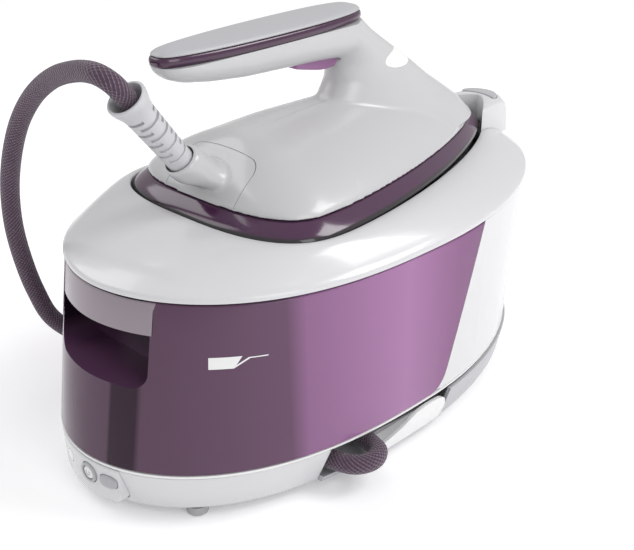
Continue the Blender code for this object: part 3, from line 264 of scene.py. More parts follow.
def band_shaded_look(name):
    """Violet band whose foot is painted dark grey shade."""
    made = Shader(name, (0.05, 0.015, 0.05), 0.16, Coat_Weight=0.25, Coat_Roughness=0.05)
    split = made.tree.nodes.new("ShaderNodeSeparateXYZ")
    made.feed(split.inputs[0], made.place())
    rise = made.maths("MULTIPLY", made.maths("SUBTRACT", split.outputs[2], BAND_LOW - FLOOR_Z), 100.0)
    # painted shade: the band's lowest few millimetres turn dark grey
    made.set("Base Color", made.ramp(rise, 0.36, 0.46, (0.022, 0.018, 0.022), (0.06, 0.018, 0.055)))
    return made.material


def braid(name):
    """Braided textile sleeve: crossing strands with lighter flecks."""
    made = Shader(name, (0.05, 0.03, 0.05), 0.85, Sheen_Weight=0.25)
    split = made.tree.nodes.new("ShaderNodeSeparateXYZ")
    made.feed(split.inputs[0], made.place("UV"))
    around = made.maths("MULTIPLY", split.outputs[0], 2 * math.pi * 14)
    along = made.maths("MULTIPLY", split.outputs[1], 2 * math.pi * 420)
    first = made.maths("SINE", made.maths("ADD", around, along))
    second = made.maths("SINE", made.maths("SUBTRACT", around, along))
    weave = made.maths("MAXIMUM", first, second)
    cross = made.maths("MULTIPLY", first, second)
    fleck = made.maths("MULTIPLY", made.maths("MAXIMUM", second, 0.0), made.noise(1500.0, 2.0))
    made.set("Base Color", made.ramp(fleck, 0.25, 0.8, (0.06, 0.033, 0.057), (0.32, 0.215, 0.31)))
    return made.bump(made.maths("ADD", weave, made.maths("MULTIPLY", cross, 0.4)), 0.0003).material


MATERIALS = {
    "shell": plastic("shell_gloss", (0.6, 0.6, 0.615), 0.22, 0.000002, Coat_Weight=0.25,
                     Coat_Roughness=0.06),
    # painted shade: a darker copy of the shell plastic for the iron's housing and heel cover
    "iron": plastic("iron_gloss_painted_shade", (0.5, 0.5, 0.51), 0.26, 0.000002, Coat_Weight=0.2, Coat_Roughness=0.1),
    "white": plastic("bright_white", (0.74, 0.74, 0.74), 0.26, 0.000002, Coat_Weight=0.2, Coat_Roughness=0.1),
    "grey": plastic("light_grey_plastic", (0.42, 0.42, 0.44), 0.36),
    "soft": plastic("soft_grey_keys", (0.38, 0.38, 0.4), 0.3, 0.000002),
    "pale": plastic("pale_grey_sleeve", (0.52, 0.52, 0.54), 0.36, 0.000002),
    "mid": plastic("mid_grey_plastic", (0.2, 0.2, 0.21), 0.34),
    # tank violet with painted light and a painted shadow band
    "tank": tank_painted_light_look("tank_violet"),
    # violet band with a painted shaded foot
    "band": band_shaded_look("band_violet_shaded_foot"),
    "ring": plastic("deep_violet", (0.05, 0.015, 0.045), 0.16, 0.0, Coat_Weight=0.25, Coat_Roughness=0.05),
    # painted shade for the finger recess
    "recess": recess_shade_look("recess_painted_shade"),
    # painted reflection: a paler grey-violet on the bar over the grip recess
    "bar": plastic("bar_painted_reflection", (0.25, 0.21, 0.24), 0.22, 0.0, Coat_Weight=0.3),
    "black": plastic("black_plastic", (0.012, 0.012, 0.013), 0.42),
    "rubber": plastic("grey_rubber", (0.35, 0.35, 0.36), 0.75),
    "dark_rubber": plastic("black_rubber", (0.02, 0.02, 0.02), 0.7),
    "alloy": plastic("aluminium", (0.72, 0.72, 0.74), 0.25, Metallic=1.0),
    "steel": plastic("steel", (0.5, 0.5, 0.52), 0.3, Metallic=1.0),
    "brass": plastic("brass", (0.75, 0.52, 0.22), 0.3, Metallic=1.0),
    "board": plastic("board_green", (0.03, 0.16, 0.06), 0.5),
    "lamp": plastic("lamp_lens", (0.8, 0.8, 0.79), 0.2, 0.0, Emission_Color=(1, 1, 0.97, 1),
                    Emission_Strength=0.04),
    "hose": braid("braided_hose"),
}

NODE_MATERIALS = {
    "shell": ("front_skirt", "slot_wall", "body_deck", "rear_shell", "top_cover", "lock_housing",
              "control_panel"),
    "iron": ("iron_housing", "heel_cover"),
    "white": ("hose_clip", "power_button"),
    "grey": ("rear_tray", "centre_support", "inner_frame", "tank_coupling", "handle_cover", "lock_button"),
    "soft": ("oval_button", "power_ring"),
    "pale": ("strain_relief",),
    "mid": ("hose_outlet", "water_pump", "lock_latch", "hose_collar"),
    "tank": ("water_tank", "tank_lid", "steam_trigger"),
    "band": ("trim_band",),
    "ring": ("tank_cap", "handle_ring"),
    "black": ("rest_plate", "heat_shield", "trigger_switch"),
    "rubber": ("foot_front_left", "foot_front_right", "foot_rear_left", "foot_rear_right"),
    "dark_rubber": ("rest_pad_heel", "rest_pad_tip", "tank_valve", "mains_gland", "water_pipe", "inlet_pipe"),
    "alloy": ("soleplate", "steam_chamber", "boiler_heater"),
    "steel": ("boiler", "steam_pipe", "trigger_pin"),
    "brass": ("steam_valve", "steam_riser"),
    "board": ("control_board",),
    "lamp": ("panel_lamp", "light_window"),
    "hose": ("steam_hose",),
}


# ---------------------------------------------------------------- mesh helpers
def mesh_object(name, vertices, faces):
    mesh = bpy.data.meshes.new(name)
    mesh.from_pydata([tuple(v) for v in vertices], [], faces)
    work = bmesh.new()
    work.from_mesh(mesh)
    bmesh.ops.recalc_face_normals(work, faces=work.faces)
    work.to_mesh(mesh)
    work.free()
    obj = bpy.data.objects.new(name, mesh)
    bpy.context.scene.collection.objects.link(obj)
    return obj


def evaluate(obj):
    graph = bpy.context.evaluated_depsgraph_get()
    made = bpy.data.meshes.new_from_object(obj.evaluated_get(graph))
    obj.modifiers.clear()
    obj.data = made
    work = bmesh.new()
    work.from_mesh(made)
    bmesh.ops.remove_doubles(work, verts=work.verts, dist=0.000005)
    work.to_mesh(made)
    work.free()
    return obj


def modify(obj, kind, **settings):
    step = obj.modifiers.new(kind.lower(), kind)
    for key, value in settings.items():
        setattr(step, key, value)
    return evaluate(obj)


def combine(target, others, operation):
    for other in others:
        modify(target, "BOOLEAN", object=other, operation=operation, solver="EXACT")
        bpy.data.objects.remove(other, do_unlink=True)
    return target


def cut(target, *others):
    return combine(target, others, "DIFFERENCE")


def common(target, *others):
    return combine(target, others, "INTERSECT")


def join(target, *others):
    return combine(target, others, "UNION")


def soft_edges(obj, width, segments=3, angle=35):
    return modify(obj, "BEVEL", width=width, segments=segments, limit_method="ANGLE",
                  angle_limit=math.radians(angle), use_clamp_overlap=True, miter_outer="MITER_ARC")


def show(obj, name, body, look, nodes=(), sharp=32):
    """Name, shade and place a finished piece, and let it ride on its CAD body."""
    obj.name = name
    obj.data.transform(Matrix.Translation((0.0, -CENTRE_Y, -FLOOR_Z)))
    obj.data.materials.clear()
    obj.data.materials.append(MATERIALS[look])
    obj.data.shade_smooth()
    obj.data.set_sharp_from_angle(angle=math.radians(sharp))
    if body:
        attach(obj, body)
    if nodes:
        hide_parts(*nodes)
    return obj


def paint(obj, look, chosen):
    """Give a second material to the faces whose middle, in the drawn frame, is chosen."""
    obj.data.materials.append(MATERIALS[look])
    shift = Vector((0.0, CENTRE_Y, FLOOR_Z))
    for polygon in obj.data.polygons:
        if chosen(polygon.center + shift):
            polygon.material_index = len(obj.data.materials) - 1


def loft(rings, closed=False, caps=True):
    size = len(rings[0])
    vertices = [point for ring in rings for point in ring]
    faces = []
    for level in range(len(rings) if closed else len(rings) - 1):
        low, high = level * size, (level + 1) % len(rings) * size
        faces += [(low + i, low + (i + 1) % size, high + (i + 1) % size, high + i) for i in range(size)]
    if caps and not closed:
        faces += [tuple(range(size)), tuple(range(len(vertices) - size, len(vertices)))]
    return mesh_object("part", vertices, faces)


def box(low, high):
    corners = [(low[0], low[1]), (high[0], low[1]), (high[0], high[1]), (low[0], high[1])]
    return loft([[Vector((x, y, z)) for x, y in corners] for z in (low[2], high[2])])


def prism_x(outline, x0, x1):
    return loft([[Vector((x, y, z)) for y, z in outline] for x in (x0, x1)])


def prism_y(outline, y0, y1):
    return loft([[Vector((x, y, z)) for x, z in outline] for y in (y0, y1)])


def axes_of(axis):
    axis = Vector(axis).normalized()
    helper = Vector((0, 0, 1)) if abs(axis.z) < 0.9 else Vector((0, 1, 0))
    side = axis.cross(helper).normalized()
    return axis, side, side.cross(axis).normalized()


def turned(base, axis, profile, sides=64, squash=1.0, closed=False, fullness=1.0):
    """Solid of revolution from (distance along axis, radius) pairs.

    Squash flattens it upward; fullness below 1 swells its round outline toward a rectangle.
    """
    axis, side, up = axes_of(axis)
    rings = []
    for along, radius in profile:
        centre = Vector(base) + axis * along
        ring = []
        for i in range(sides):
            angle = 2 * math.pi * i / sides
            u = radius * math.copysign(abs(math.cos(angle)) ** fullness, math.cos(angle))
            v = radius * squash * math.copysign(abs(math.sin(angle)) ** fullness, math.sin(angle))
            ring.append(centre + side * u + up * v)
        rings.append(ring)
    return loft(rings, closed)


# ---------------------------------------------------------------- outlines
def outline(front, rear, half, z, widest, front_powers, rear_powers, count=FINE):
    ring = []
    for i in range(count):
        angle = 2 * math.pi * i / count
        side, along = math.sin(angle), -math.cos(angle)
        across, length = front_powers if along < 0 else rear_powers
        reach = widest - front if along < 0 else rear - widest
        x = half * math.copysign(abs(side) ** (2 / across), side)
        y = widest + reach * math.copysign(abs(along) ** (2 / length), along)
        ring.append(Vector((x, y, z)))
    return ring


def base_sizes(z, levels=BASE_LEVELS):
    heights = sorted(levels)
    z_in = min(max(z, heights[0]), heights[-1])
    for low, high in zip(heights, heights[1:]):
        if z_in <= high:
            share = (z_in - low) / (high - low)
            return [a + (b - a) * share for a, b in zip(levels[low], levels[high])]


def base_ring(z, grow=0.0, at=None, levels=BASE_LEVELS):
    front, rear, half = base_sizes(z, levels)
    place = z if at is None else at
    return outline(front - grow, rear + grow, half + grow, place, WIDEST_Y, FRONT_POWERS, REAR_POWERS)


def base_loft(low, high, grow=0.0, edge=0.0, levels=BASE_LEVELS):
    """Solid inside the base's skin, its two rims rounded by edge."""
    heights = [low] + [z for z in sorted(levels) if low + 0.001 < z < high - 0.001] + [high]
    if edge == 0.0:
        return loft([base_ring(z, grow, levels=levels) for z in heights])
    turns = [math.radians(turn) for turn in (90, 60, 30, 0)]
    lifts = [edge * (1 - math.sin(turn)) for turn in turns]
    insets = [edge * (1 - math.cos(turn)) for turn in turns]
    rings = [base_ring(low + lift, grow - inset, levels=levels) for lift, inset in zip(lifts, insets)]
    rings += [base_ring(z, grow, levels=levels) for z in heights[1:-1]]
    rings += [base_ring(high - lift, grow - inset, levels=levels)
              for lift, inset in zip(lifts[::-1], insets[::-1])]
    return loft(rings)


def iron_ring(plan, z, grow=0.0, count=FINE):
    heel, tip, half = plan
    return outline(heel - grow, tip + grow, half + grow, z, IRON_WIDEST_Y, IRON_HEEL_POWERS,
                   IRON_TIP_POWERS, count)


def bezier(a, b, c, steps):
    points = []
    for i in range(steps + 1):
        t = i / steps
        points.append(tuple((1 - t) ** 2 * p + 2 * t * (1 - t) * q + t * t * r for p, q, r in zip(a, b, c)))
    return points


def arc(centre, radius, start, end, steps):
    angles = [math.radians(start + (end - start) * i / steps) for i in range(steps + 1)]
    return [(centre[0] + radius * math.cos(a), centre[1] + radius * math.sin(a)) for a in angles]


def parting_line(shift_y=0.0, shift_z=0.0):
    slope = 0.4057
    top = (0.0245 + (0.19 - 0.04) * slope, 0.19)
    line = [top] + bezier((0.0302, 0.054), (0.0247, TANK_BOTTOM), (0.01, TANK_BOTTOM), 16)
    return [(y + shift_y, z + shift_z) for y, z in line]


def tank_front_region(back=0.0, shift_z=0.0):
    line = parting_line(-back, shift_z)
    return prism_x([(-0.3, 0.19)] + line + [(-0.3, line[-1][1])], -0.2, 0.2)


def front_point(sizes, x, z):
    """Point on the front half of an outline at a width and height."""
    front, _, half = sizes
    share = min(1.0, abs(x) / half)
    y = WIDEST_Y - (WIDEST_Y - front) * (1 - share ** FRONT_POWERS[0]) ** (1 / FRONT_POWERS[1])
    return Vector((x, y, z))


def skin_point(x, z):
    """Point on the front skin of the base."""
    return front_point(base_sizes(z), x, z)


# ---------------------------------------------------------------- base
def build_tray():
    tray = base_loft(0.0108, 0.0335, 0.0, 0.0008, TRAY_LEVELS)
    cut(tray, base_loft(0.0145, 0.05, -WALL, levels=TRAY_LEVELS))
    front = box((-0.2, -0.3, 0.0), (0.2, SLOT_FRONT + GAP, 0.06))
    cut(front, base_loft(-0.01, 0.08, -0.004))
    cut(tray, front)
    near = [(SLOT_FRONT - 0.02, 0.0149), (-0.0222, 0.0149), (-0.0222, 0.06), (SLOT_FRONT - 0.02, 0.06)]
    far = [(SLOT_FRONT - 0.02, 0.0149), (0.026, 0.0149), (0.04, 0.06), (SLOT_FRONT - 0.02, 0.06)]
    cut(tray, prism_x(near, 0.05, 0.15), prism_x(far, -0.15, -0.05))
    cut(tray, box((0.08, -0.0223, 0.0), (0.15, 0.0393, 0.06)))
    show(tray, "tray_shell", "base", "grey", ("rear_tray",))


def build_clip():
    clip = base_loft(0.0108, 0.0336, 0.0006, levels=TRAY_LEVELS)
    cut(clip, base_loft(0.0, 0.05, -WALL, levels=TRAY_LEVELS))
    crest = bezier((-0.0219, 0.019), (-0.008, 0.0225), (-0.001, 0.029), 10)
    crest += bezier((-0.001, 0.029), (0.008, 0.035), (0.022, 0.033), 10)[1:]
    crest += bezier((0.022, 0.033), (0.036, 0.0325), (0.0389, 0.019), 12)[1:]
    common(clip, prism_x([(-0.0219, 0.0)] + crest + [(0.0389, 0.0)], 0.0803, 0.15))
    soft_edges(clip, 0.0007, 3, 40)
    show(clip, "hose_clip_lip", "base", "white", ("hose_clip",))


def build_skirt():
    skirt = base_loft(0.0108, 0.0377, 0.0, 0.001)
    cut(skirt, base_loft(0.0, 0.06, -0.0034))
    cut(skirt, box((-0.2, SLOT_FRONT, 0.0), (0.2, 0.3, 0.06)))
    pocket = base_loft(0.0, 0.06, 0.004)
    cut(pocket, base_loft(-0.01, 0.07, -0.0018))
    common(pocket, prism_y(panel_outline(GAP), -0.3, -0.1))
    cut(skirt, pocket)
    panel = build_panel_block()
    for label, (x, radius, squash, fullness) in CONTROLS.items():
        for target in (panel, skirt):
            profile = [(0, radius + CONTROL_GAP), (0.03, radius + CONTROL_GAP)]
            hole = turned(control_point(label, 0.015), panel_normal(x), profile, 64, squash,
                          fullness=fullness)
            cut(target, hole)
    show(skirt, "skirt_shell", "base", "shell", ("front_skirt",))
    show(panel, "panel_face", "base", "shell", ("control_panel",))


def panel_sizes(z):
    share = min(max((z - FOOT_HEIGHT) / (TANK_BOTTOM - FOOT_HEIGHT), 0.0), 1.0)
    return [a + (b - a) * share for a, b in zip(PANEL_FOOT, base_sizes(TANK_BOTTOM))]


def panel_skin(x, z):
    """Point on the panel's outer face."""
    return front_point(panel_sizes(z), x, z)


def panel_normal(x, z=CONTROL_HEIGHT):
    """Outward direction of the panel's face at a point."""
    step = 0.001
    across = panel_skin(x + step, z) - panel_skin(x - step, z)
    upward = panel_skin(x, z + step) - panel_skin(x, z - step)
    return across.cross(upward).normalized()


def control_point(label, inward=0.0):
    x = CONTROLS[label][0]
    return panel_skin(x, CONTROL_HEIGHT) - panel_normal(x) * inward


def build_panel_block():
    """Control panel: steeper than the skirt, so its foot stands proud, with rounded lower edges."""
    low, high, edge = PANEL_LOW, 0.0374, 0.0022
    rings = []
    for turn in (90, 60, 30, 0):
        angle = math.radians(turn)
        inset = edge * (1 - math.cos(angle))
        z = low + edge * (1 - math.sin(angle))
        front, rear, half = panel_sizes(z)
        rings.append(outline(front + inset, rear - inset, half - inset, z, WIDEST_Y, FRONT_POWERS,
                             REAR_POWERS))
    rings.append(outline(*panel_sizes(high - 0.0006), high - 0.0006, WIDEST_Y, FRONT_POWERS, REAR_POWERS))
    front, rear, half = panel_sizes(high)
    rings.append(outline(front + 0.0006, rear, half - 0.0006, high, WIDEST_Y, FRONT_POWERS, REAR_POWERS))
    panel = loft(rings)
    cut(panel, base_loft(0.0, 0.06, -0.0014))
    return common(panel, prism_y(panel_outline(0.0), -0.3, -0.1))


def panel_outline(grow):
    """Front outline of the control panel, its lower corners rounded."""
    left, right, low = PANEL_LEFT - grow, PANEL_RIGHT + grow, PANEL_LOW - grow
    small, wide = 0.003 + grow, 0.006 + grow
    shape = [(left, 0.05), (right, 0.05)] + arc((right - wide, low + wide), wide, 0, -90, 14)
    return shape + arc((left + small, low + small), small, -90, -180, 10)


def control(name, body, label, radius, proud, look, node, bore=0.0):
    """A button or lens with a softly domed face, optionally with a bore."""
    x, _, squash, fullness = CONTROLS[label]
    top = CONTROL_DEPTH + proud
    profile = [(0.0, radius), (top - 0.001, radius)]
    profile += [(top - 0.001 + 0.0008 * math.sin(a), radius - 0.0008 * (1 - math.cos(a)))
                for a in (0.5, 1.0, 1.5)]
    if bore == 0.0:
        profile += [(top + 0.0001, radius * 0.5), (top + 0.00015, radius * 0.1)]
    else:
        profile += [(top - 0.0004, bore), (0.0, bore)]
    piece = turned(control_point(label, CONTROL_DEPTH), panel_normal(x), profile, 64, squash, bore != 0.0,
                   fullness)
    return show(piece, name, body, look, (node,))


def power_mark():
    """Open ring standing proud of the round button."""
    centre, (axis, side, up) = control_point("power", -0.00115), axes_of(panel_normal(CONTROLS["power"][0]))
    inner, outer, count = 0.0013, 0.0018, 28
    bottom, top = [], []
    for layer, height in ((bottom, -0.0003), (top, 0.00012)):
        for radius in (inner, outer):
            angles = [math.radians(125 + 290 * i / count) for i in range(count + 1)]
            loop = [centre + axis * height + side * (radius * math.cos(a)) + up * (radius * math.sin(a))
                    for a in angles]
            layer += loop if radius == inner else list(reversed(loop))
    return loft([bottom, top])


def build_controls():
    radius = {label: values[1] for label, values in CONTROLS.items()}
    control("ready_lamp", "base", "lamp", radius["lamp"], 0.0006, "lamp", "panel_lamp")
    control("power_bezel", "base", "power", radius["power"], 0.0014, "soft", "power_ring",
            BUTTON_RADIUS + CONTROL_GAP)
    control("power_key_cap", "power_key", "power", BUTTON_RADIUS, 0.001, "white", "power_button")
    control("oval_key_cap", "oval_key", "oval", radius["oval"], 0.0014, "soft", "oval_button")
    show(power_mark(), "power_mark", "power_key", "soft", ())


def build_deck():
    deck = base_loft(0.0381, 0.0402, 0.0003, 0.0006)
    show(deck, "deck_plate", "base", "white", ("body_deck",))


def grip_outline(grow=0.0):
    half, low, radius = GRIP_HALF + grow, GRIP_LOW - grow, 0.0095 + grow
    right = arc((half - radius, low + radius), radius, 0, -90, 12)
    left = [(-x, z) for x, z in reversed(right)]
    return [(half, GRIP_HIGH)] + right + left + [(-half, GRIP_HIGH)]


def build_tank():
    tank = base_loft(TANK_BOTTOM, TANK_TOP, 0.0, 0.001)
    common(tank, tank_front_region())
    cut(tank, box((-FRAME_HALF - 0.002, FRAME_FRONT - 0.0015, 0.0), (FRAME_HALF + 0.002, 0.3, 0.2)))
    hollow = base_loft(TANK_BOTTOM + WALL, 0.16, -WALL)
    common(hollow, tank_front_region(0.0032, WALL))
    cut(hollow, box((-FRAME_HALF - 0.0045, FRAME_FRONT - 0.004, 0.0), (FRAME_HALF + 0.0045, 0.3, 0.2)))
    cut(hollow, box((-GRIP_HALF - WALL, -0.3, GRIP_LOW - WALL), (GRIP_HALF + WALL, GRIP_BACK + WALL, 0.2)))
    cut(tank, hollow)
    cut(tank, prism_y(grip_outline(), -0.3, GRIP_BACK))
    cut(tank, turned((0.0, FRAME_FRONT - 0.01, 0.053), (0, 1, 0), [(0, 0.007), (0.03, 0.007)], 32))
    cut(tank, bar_seam(BAR_HALF), bar_seam(-BAR_HALF))
    show(tank, "tank_shell", "tank", "tank", ("water_tank",))
    # the finger recess gets the painted shade
    paint(tank, "recess", in_recess)
    # the bar over the grip recess gets the painted reflection
    paint(tank, "bar", lambda p: abs(p.x) < BAR_HALF and p.z > GRIP_HIGH - 0.0003
          and p.y < skin_point(p.x, p.z).y + 0.0006)


def in_recess(point):
    """Whether a point lies in the finger recess, behind the tank's skin."""
    inside = abs(point.x) < GRIP_HALF + 0.0003 and GRIP_LOW - 0.0003 < point.z < GRIP_HIGH + 0.0003
    return inside and skin_point(point.x, point.z).y + 0.0004 < point.y < GRIP_BACK + 0.0003


def bar_seam(x):
    """Fine upright groove beside the bar above the finger recess."""
    y = skin_point(x, 0.132).y
    return box((x - 0.0002, y - 0.01, GRIP_HIGH), (x + 0.0002, y + 0.0006, 0.15))


def fill_mark():
    """Plain level mark on the tank's side: a small filled lozenge and a stepped line."""
    lozenge = [(0.0652, 0.112), (0.0655, 0.1052), (0.0742, 0.1052), (0.0765, 0.112)]
    line = [(0.0742, 0.1052), (0.079, 0.1104), (0.0838, 0.1104), (0.0838, 0.111), (0.0785, 0.111),
            (0.0736, 0.1056)]
    for number, shape in enumerate((lozenge, line)):
        block = prism_y(shape, -0.2, -0.05)
        skin = base_loft(0.09, 0.13, 0.00018)
        cut(skin, base_loft(0.085, 0.135, 0.00004))
        common(skin, block)
        show(skin, "fill_mark_%d" % number, "tank", "white", ())


def build_rear_shell():
    bottom, top = 0.0405, COVER_BOTTOM - GAP
    shell = base_loft(bottom, top, 0.0, 0.0008)
    cut(shell, tank_front_region(-0.0006, -0.0005))
    hollow = base_loft(bottom + WALL, 0.16, -WALL)
    cut(hollow, tank_front_region(-0.0036, -0.0005))
    cut(shell, hollow)
    cut(shell, box((-FRAME_HALF - 0.0004, -0.2, 0.0), (FRAME_HALF + 0.0004, FRAME_REAR + 0.0004, 0.2)))
    cut(shell, box((-0.2, -0.2, 0.0), (0.2, 0.024, 0.042)))
    cut(shell, turned((0.0, 0.17, 0.062), (0, 1, 0), [(0, 0.0064), (0.06, 0.0064)], 32))
    show(shell, "rear_body", "base", "shell", ("rear_shell",))


# ---------------------------------------------------------------- top cover and lock housing
def between(outer, inner, share, lift):
    ring = []
    for a, b in zip(outer, inner):
        point = a.lerp(b, share)
        point.z = a.z + (b.z - a.z) * lift
        ring.append(point)
    return ring


def recess_edge(grow=0.0, drop=0.0):
    ring = iron_ring(RECESS, 0.0, grow)
    for point in ring:
        share = (point.y - RECESS[0]) / (RECESS[1] - RECESS[0])
        point.z = 0.1625 - 0.005 * share - drop
    return ring


def build_cover():
    rim = [base_ring(RIM_LEVEL, 0.0004, COVER_BOTTOM), base_ring(RIM_LEVEL, 0.0007, 0.1432),
           base_ring(RIM_LEVEL, 0.0006, 0.1446), base_ring(RIM_LEVEL, 0.0001, 0.1456)]
    rim_high = base_ring(RIM_LEVEL, -0.0008, 0.1463)
    edge = recess_edge(0.0014)
    steps = ((0.08, 0.13), (0.2, 0.31), (0.35, 0.52), (0.5, 0.71), (0.65, 0.87), (0.8, 0.97), (0.92, 1.0))
    outer = [between(rim_high, edge, share, lift) for share, lift in steps]
    lips = [edge, recess_edge(0.0006, 0.0001), recess_edge(0.0001, 0.0006), recess_edge(0.0, 0.0014)]
    throat = [iron_ring(RECESS, 0.144), iron_ring(RECESS, 0.144, 0.0022), recess_edge(0.0024, 0.003)]
    under_rim = base_ring(RIM_LEVEL, -0.003, 0.144)
    inner = [between(under_rim, throat[-1], share, lift) for share, lift in ((0.75, 0.8), (0.4, 0.42))]
    rings = rim + [rim_high] + outer + lips + throat + inner
    rings += [under_rim, base_ring(RIM_LEVEL, -0.0026, COVER_BOTTOM)]
    cover = loft(rings, closed=True)
    cut(cover, loft(lock_sections(0.0004)))
    show(cover, "cover_shell", "base", "shell", ("top_cover",), 28)


def rim_point(rim, place):
    """Point of an outline at a place given as a fractional index."""
    whole = int(place)
    return rim[whole].lerp(rim[(whole + 1) % len(rim)], place - whole)


def lock_sections(grow=0.0, seat=0.15):
    """Cross-sections of the housing round the iron's tip, from one end to the other."""
    plan = iron_ring(RECESS, 0.0, GAP)
    rim = base_ring(TANK_TOP, 0.0, 0.0)
    half = FINE // 2
    low = seat - (0.0003 if grow else 0.0)
    start = -0.0014 if grow else 0.0
    sections, ways = [], []
    for i in range(half - LOCK_REACH, half + LOCK_REACH + 1):
        inner = plan[i]
        outward = rim_point(rim, half + (i - half) * LOCK_NARROWING) - inner
        way = outward.normalized()
        reach = outward.length + grow
        top = LOCK_TOP - 0.003 * (abs(i - half) / LOCK_REACH) ** 4 + grow
        shape = [(0.0, low), (0.0, top - 0.0012), (0.02, top - 0.0004), (0.06, top), (0.4, top + 0.0003),
                 (0.72, top), (0.8, top - 0.0006), (0.88, top - 0.0022), (0.94, top - 0.0055),
                 (0.98, top - 0.011), (1.0, low + 0.003), (1.0, low)]
        sections.append([Vector((*(inner + way * (reach * out or start)).xy, z)) for out, z in shape])
        ways.append(way)
    for end, turn in ((0, 1), (-1, -1)):
        away = Vector((ways[end].y, -ways[end].x, 0.0)) * turn * grow
        sections[end] = [point + away for point in sections[end]]
    return sections


def lock_oblong(grow, low, high, edge=0.0):
    """Upright oval block round the lock button's middle, its upper edge rounded."""
    half_x, half_y = LOCK_HALF[0] + grow, LOCK_HALF[1] + grow
    profile = [(0.0, half_x)]
    for turn in (0, 30, 60, 90):
        angle = math.radians(turn)
        profile.append((high - low - edge * (1 - math.sin(angle)), half_x - edge * (1 - math.cos(angle))))
    if edge == 0.0:
        profile = [(0.0, half_x), (high - low, half_x)]
    block = turned((0.0, 0.0, low), (0, 0, 1), profile, 64, half_y / half_x, fullness=0.75)
    for vertex in block.data.vertices:
        vertex.co.y += LOCK_CENTRE_Y - LOCK_BEND * vertex.co.x ** 2
    return block


def build_lock():
    housing = loft(lock_sections())
    soft_edges(housing, 0.0012, 3, 50)
    cut(housing, lock_oblong(0.0005, 0.1685, 0.19))
    cut(housing, box((-0.0053, 0.185, 0.1537), (0.0053, 0.205, 0.1577)))
    show(housing, "lock_shell", "base", "shell", ("lock_housing",), 40)
    button = lock_oblong(0.0, 0.1724, LOCK_TOP + 0.0008, 0.0008)
    show(button, "lock_button_cap", "lock_key", "grey", ("lock_button",))


# ---------------------------------------------------------------- iron
def body_ridge(y):
    knots = ((-0.08, 0.188), (-0.07, 0.195), (-0.04, 0.203), (0.0, 0.207), (0.04, 0.208),
             (0.08, 0.205), (0.12, 0.197), (0.15, 0.188), (0.185, 0.179))
    if y <= knots[0][0]:
        return knots[0][1]
    for (y0, z0), (y1, z1) in zip(knots, knots[1:]):
        if y <= y1:
            share = (y - y0) / (y1 - y0)
            share = share * share * (3 - 2 * share) * 0.4 + share * 0.6
            return z0 + (z1 - z0) * share
    return knots[-1][1]


def body_dome():
    plan = iron_ring(BODY_PLAN, 0.0, -BODY_INSET)
    low = BAND_TOP + GAP
    rings = [[Vector((p.x, p.y, low)) for p in plan]]
    for shrink in (0.03, 0.08, 0.14, 0.2, 0.27, 0.34, 0.42, 0.5, 0.59, 0.68, 0.77, 0.86, 0.94):
        ring = []
        for p in plan:
            point = p.lerp(Vector((0.0, min(max(p.y, -0.045), 0.12), 0.0)), shrink)
            crown = (1 - (1 - shrink) ** 1.6) ** 0.8
            height = low + 0.001 + (body_ridge(point.y) - low - 0.001) * crown
            ring.append(Vector((point.x, point.y, height)))
        rings.append(ring)
    return loft(rings)


def oval_ring(y0, y1, half, z, count=64):
    middle, reach = (y0 + y1) / 2, (y1 - y0) / 2
    ring = []
    for i in range(count):
        angle = 2 * math.pi * i / count
        x = half * math.copysign(abs(math.sin(angle)) ** 0.9, math.sin(angle))
        ring.append(Vector((x, middle - reach * math.cos(angle), z)))
    return ring


def neck_solid():
    levels = ((0.175, 0.06, 0.165, 0.036), (0.188, 0.048, 0.1515, 0.031), (0.198, 0.024, 0.137, 0.026),
              (0.208, 0.027, 0.121, 0.0225), (0.218, 0.033, 0.107, 0.02),
              (0.228, 0.034, 0.092, 0.0188), (0.238, 0.03, 0.076, 0.0182),
              (0.248, 0.02, 0.061, 0.0176), (0.256, 0.0, 0.0528, 0.017))
    return loft([oval_ring(y0, y1, half, z) for z, y0, y1, half in levels])


def handle_section(y, half, low, high, count=48):
    ring = []
    for i in range(count):
        angle = 2 * math.pi * i / count
        x = half * math.copysign(abs(math.sin(angle)) ** 0.85, math.sin(angle))
        rise = -math.cos(angle)
        ring.append(Vector((x, y, low + (high - low) * (0.5 + 0.5 * math.copysign(abs(rise) ** 0.8, rise)))))
    return ring


def handle_solid():
    stations = ((-0.102, 0.0055, 0.248), (-0.1003, 0.0095, 0.246), (-0.096, 0.0128, 0.243),
                (-0.088, 0.0146, 0.2402), (-0.07, 0.0156, 0.2374), (-0.045, 0.0166, 0.2352),
                (-0.015, 0.0172, 0.2345), (0.015, 0.0175, 0.2335), (0.04, 0.0176, 0.232))
    return loft([handle_section(y, half, low, HANDLE_SPLIT + 0.012) for y, half, low in stations])


def droop(y):
    """How much lower the handle's top is at a station than at its tip end."""
    return HANDLE_DROOP * (HANDLE_TIP_END - y) / (HANDLE_TIP_END - HANDLE_FREE_END)


def above_handle():
    shape = [(-0.2, HANDLE_SPLIT - droop(-0.2)), (0.2, HANDLE_SPLIT - droop(0.2)), (0.2, 0.4), (-0.2, 0.4)]
    return prism_x(shape, -0.1, 0.1)


def relief_axis():
    return Vector((0.0, -0.62, 0.785)).normalized(), Vector((0.0, -0.0895, 0.1965))


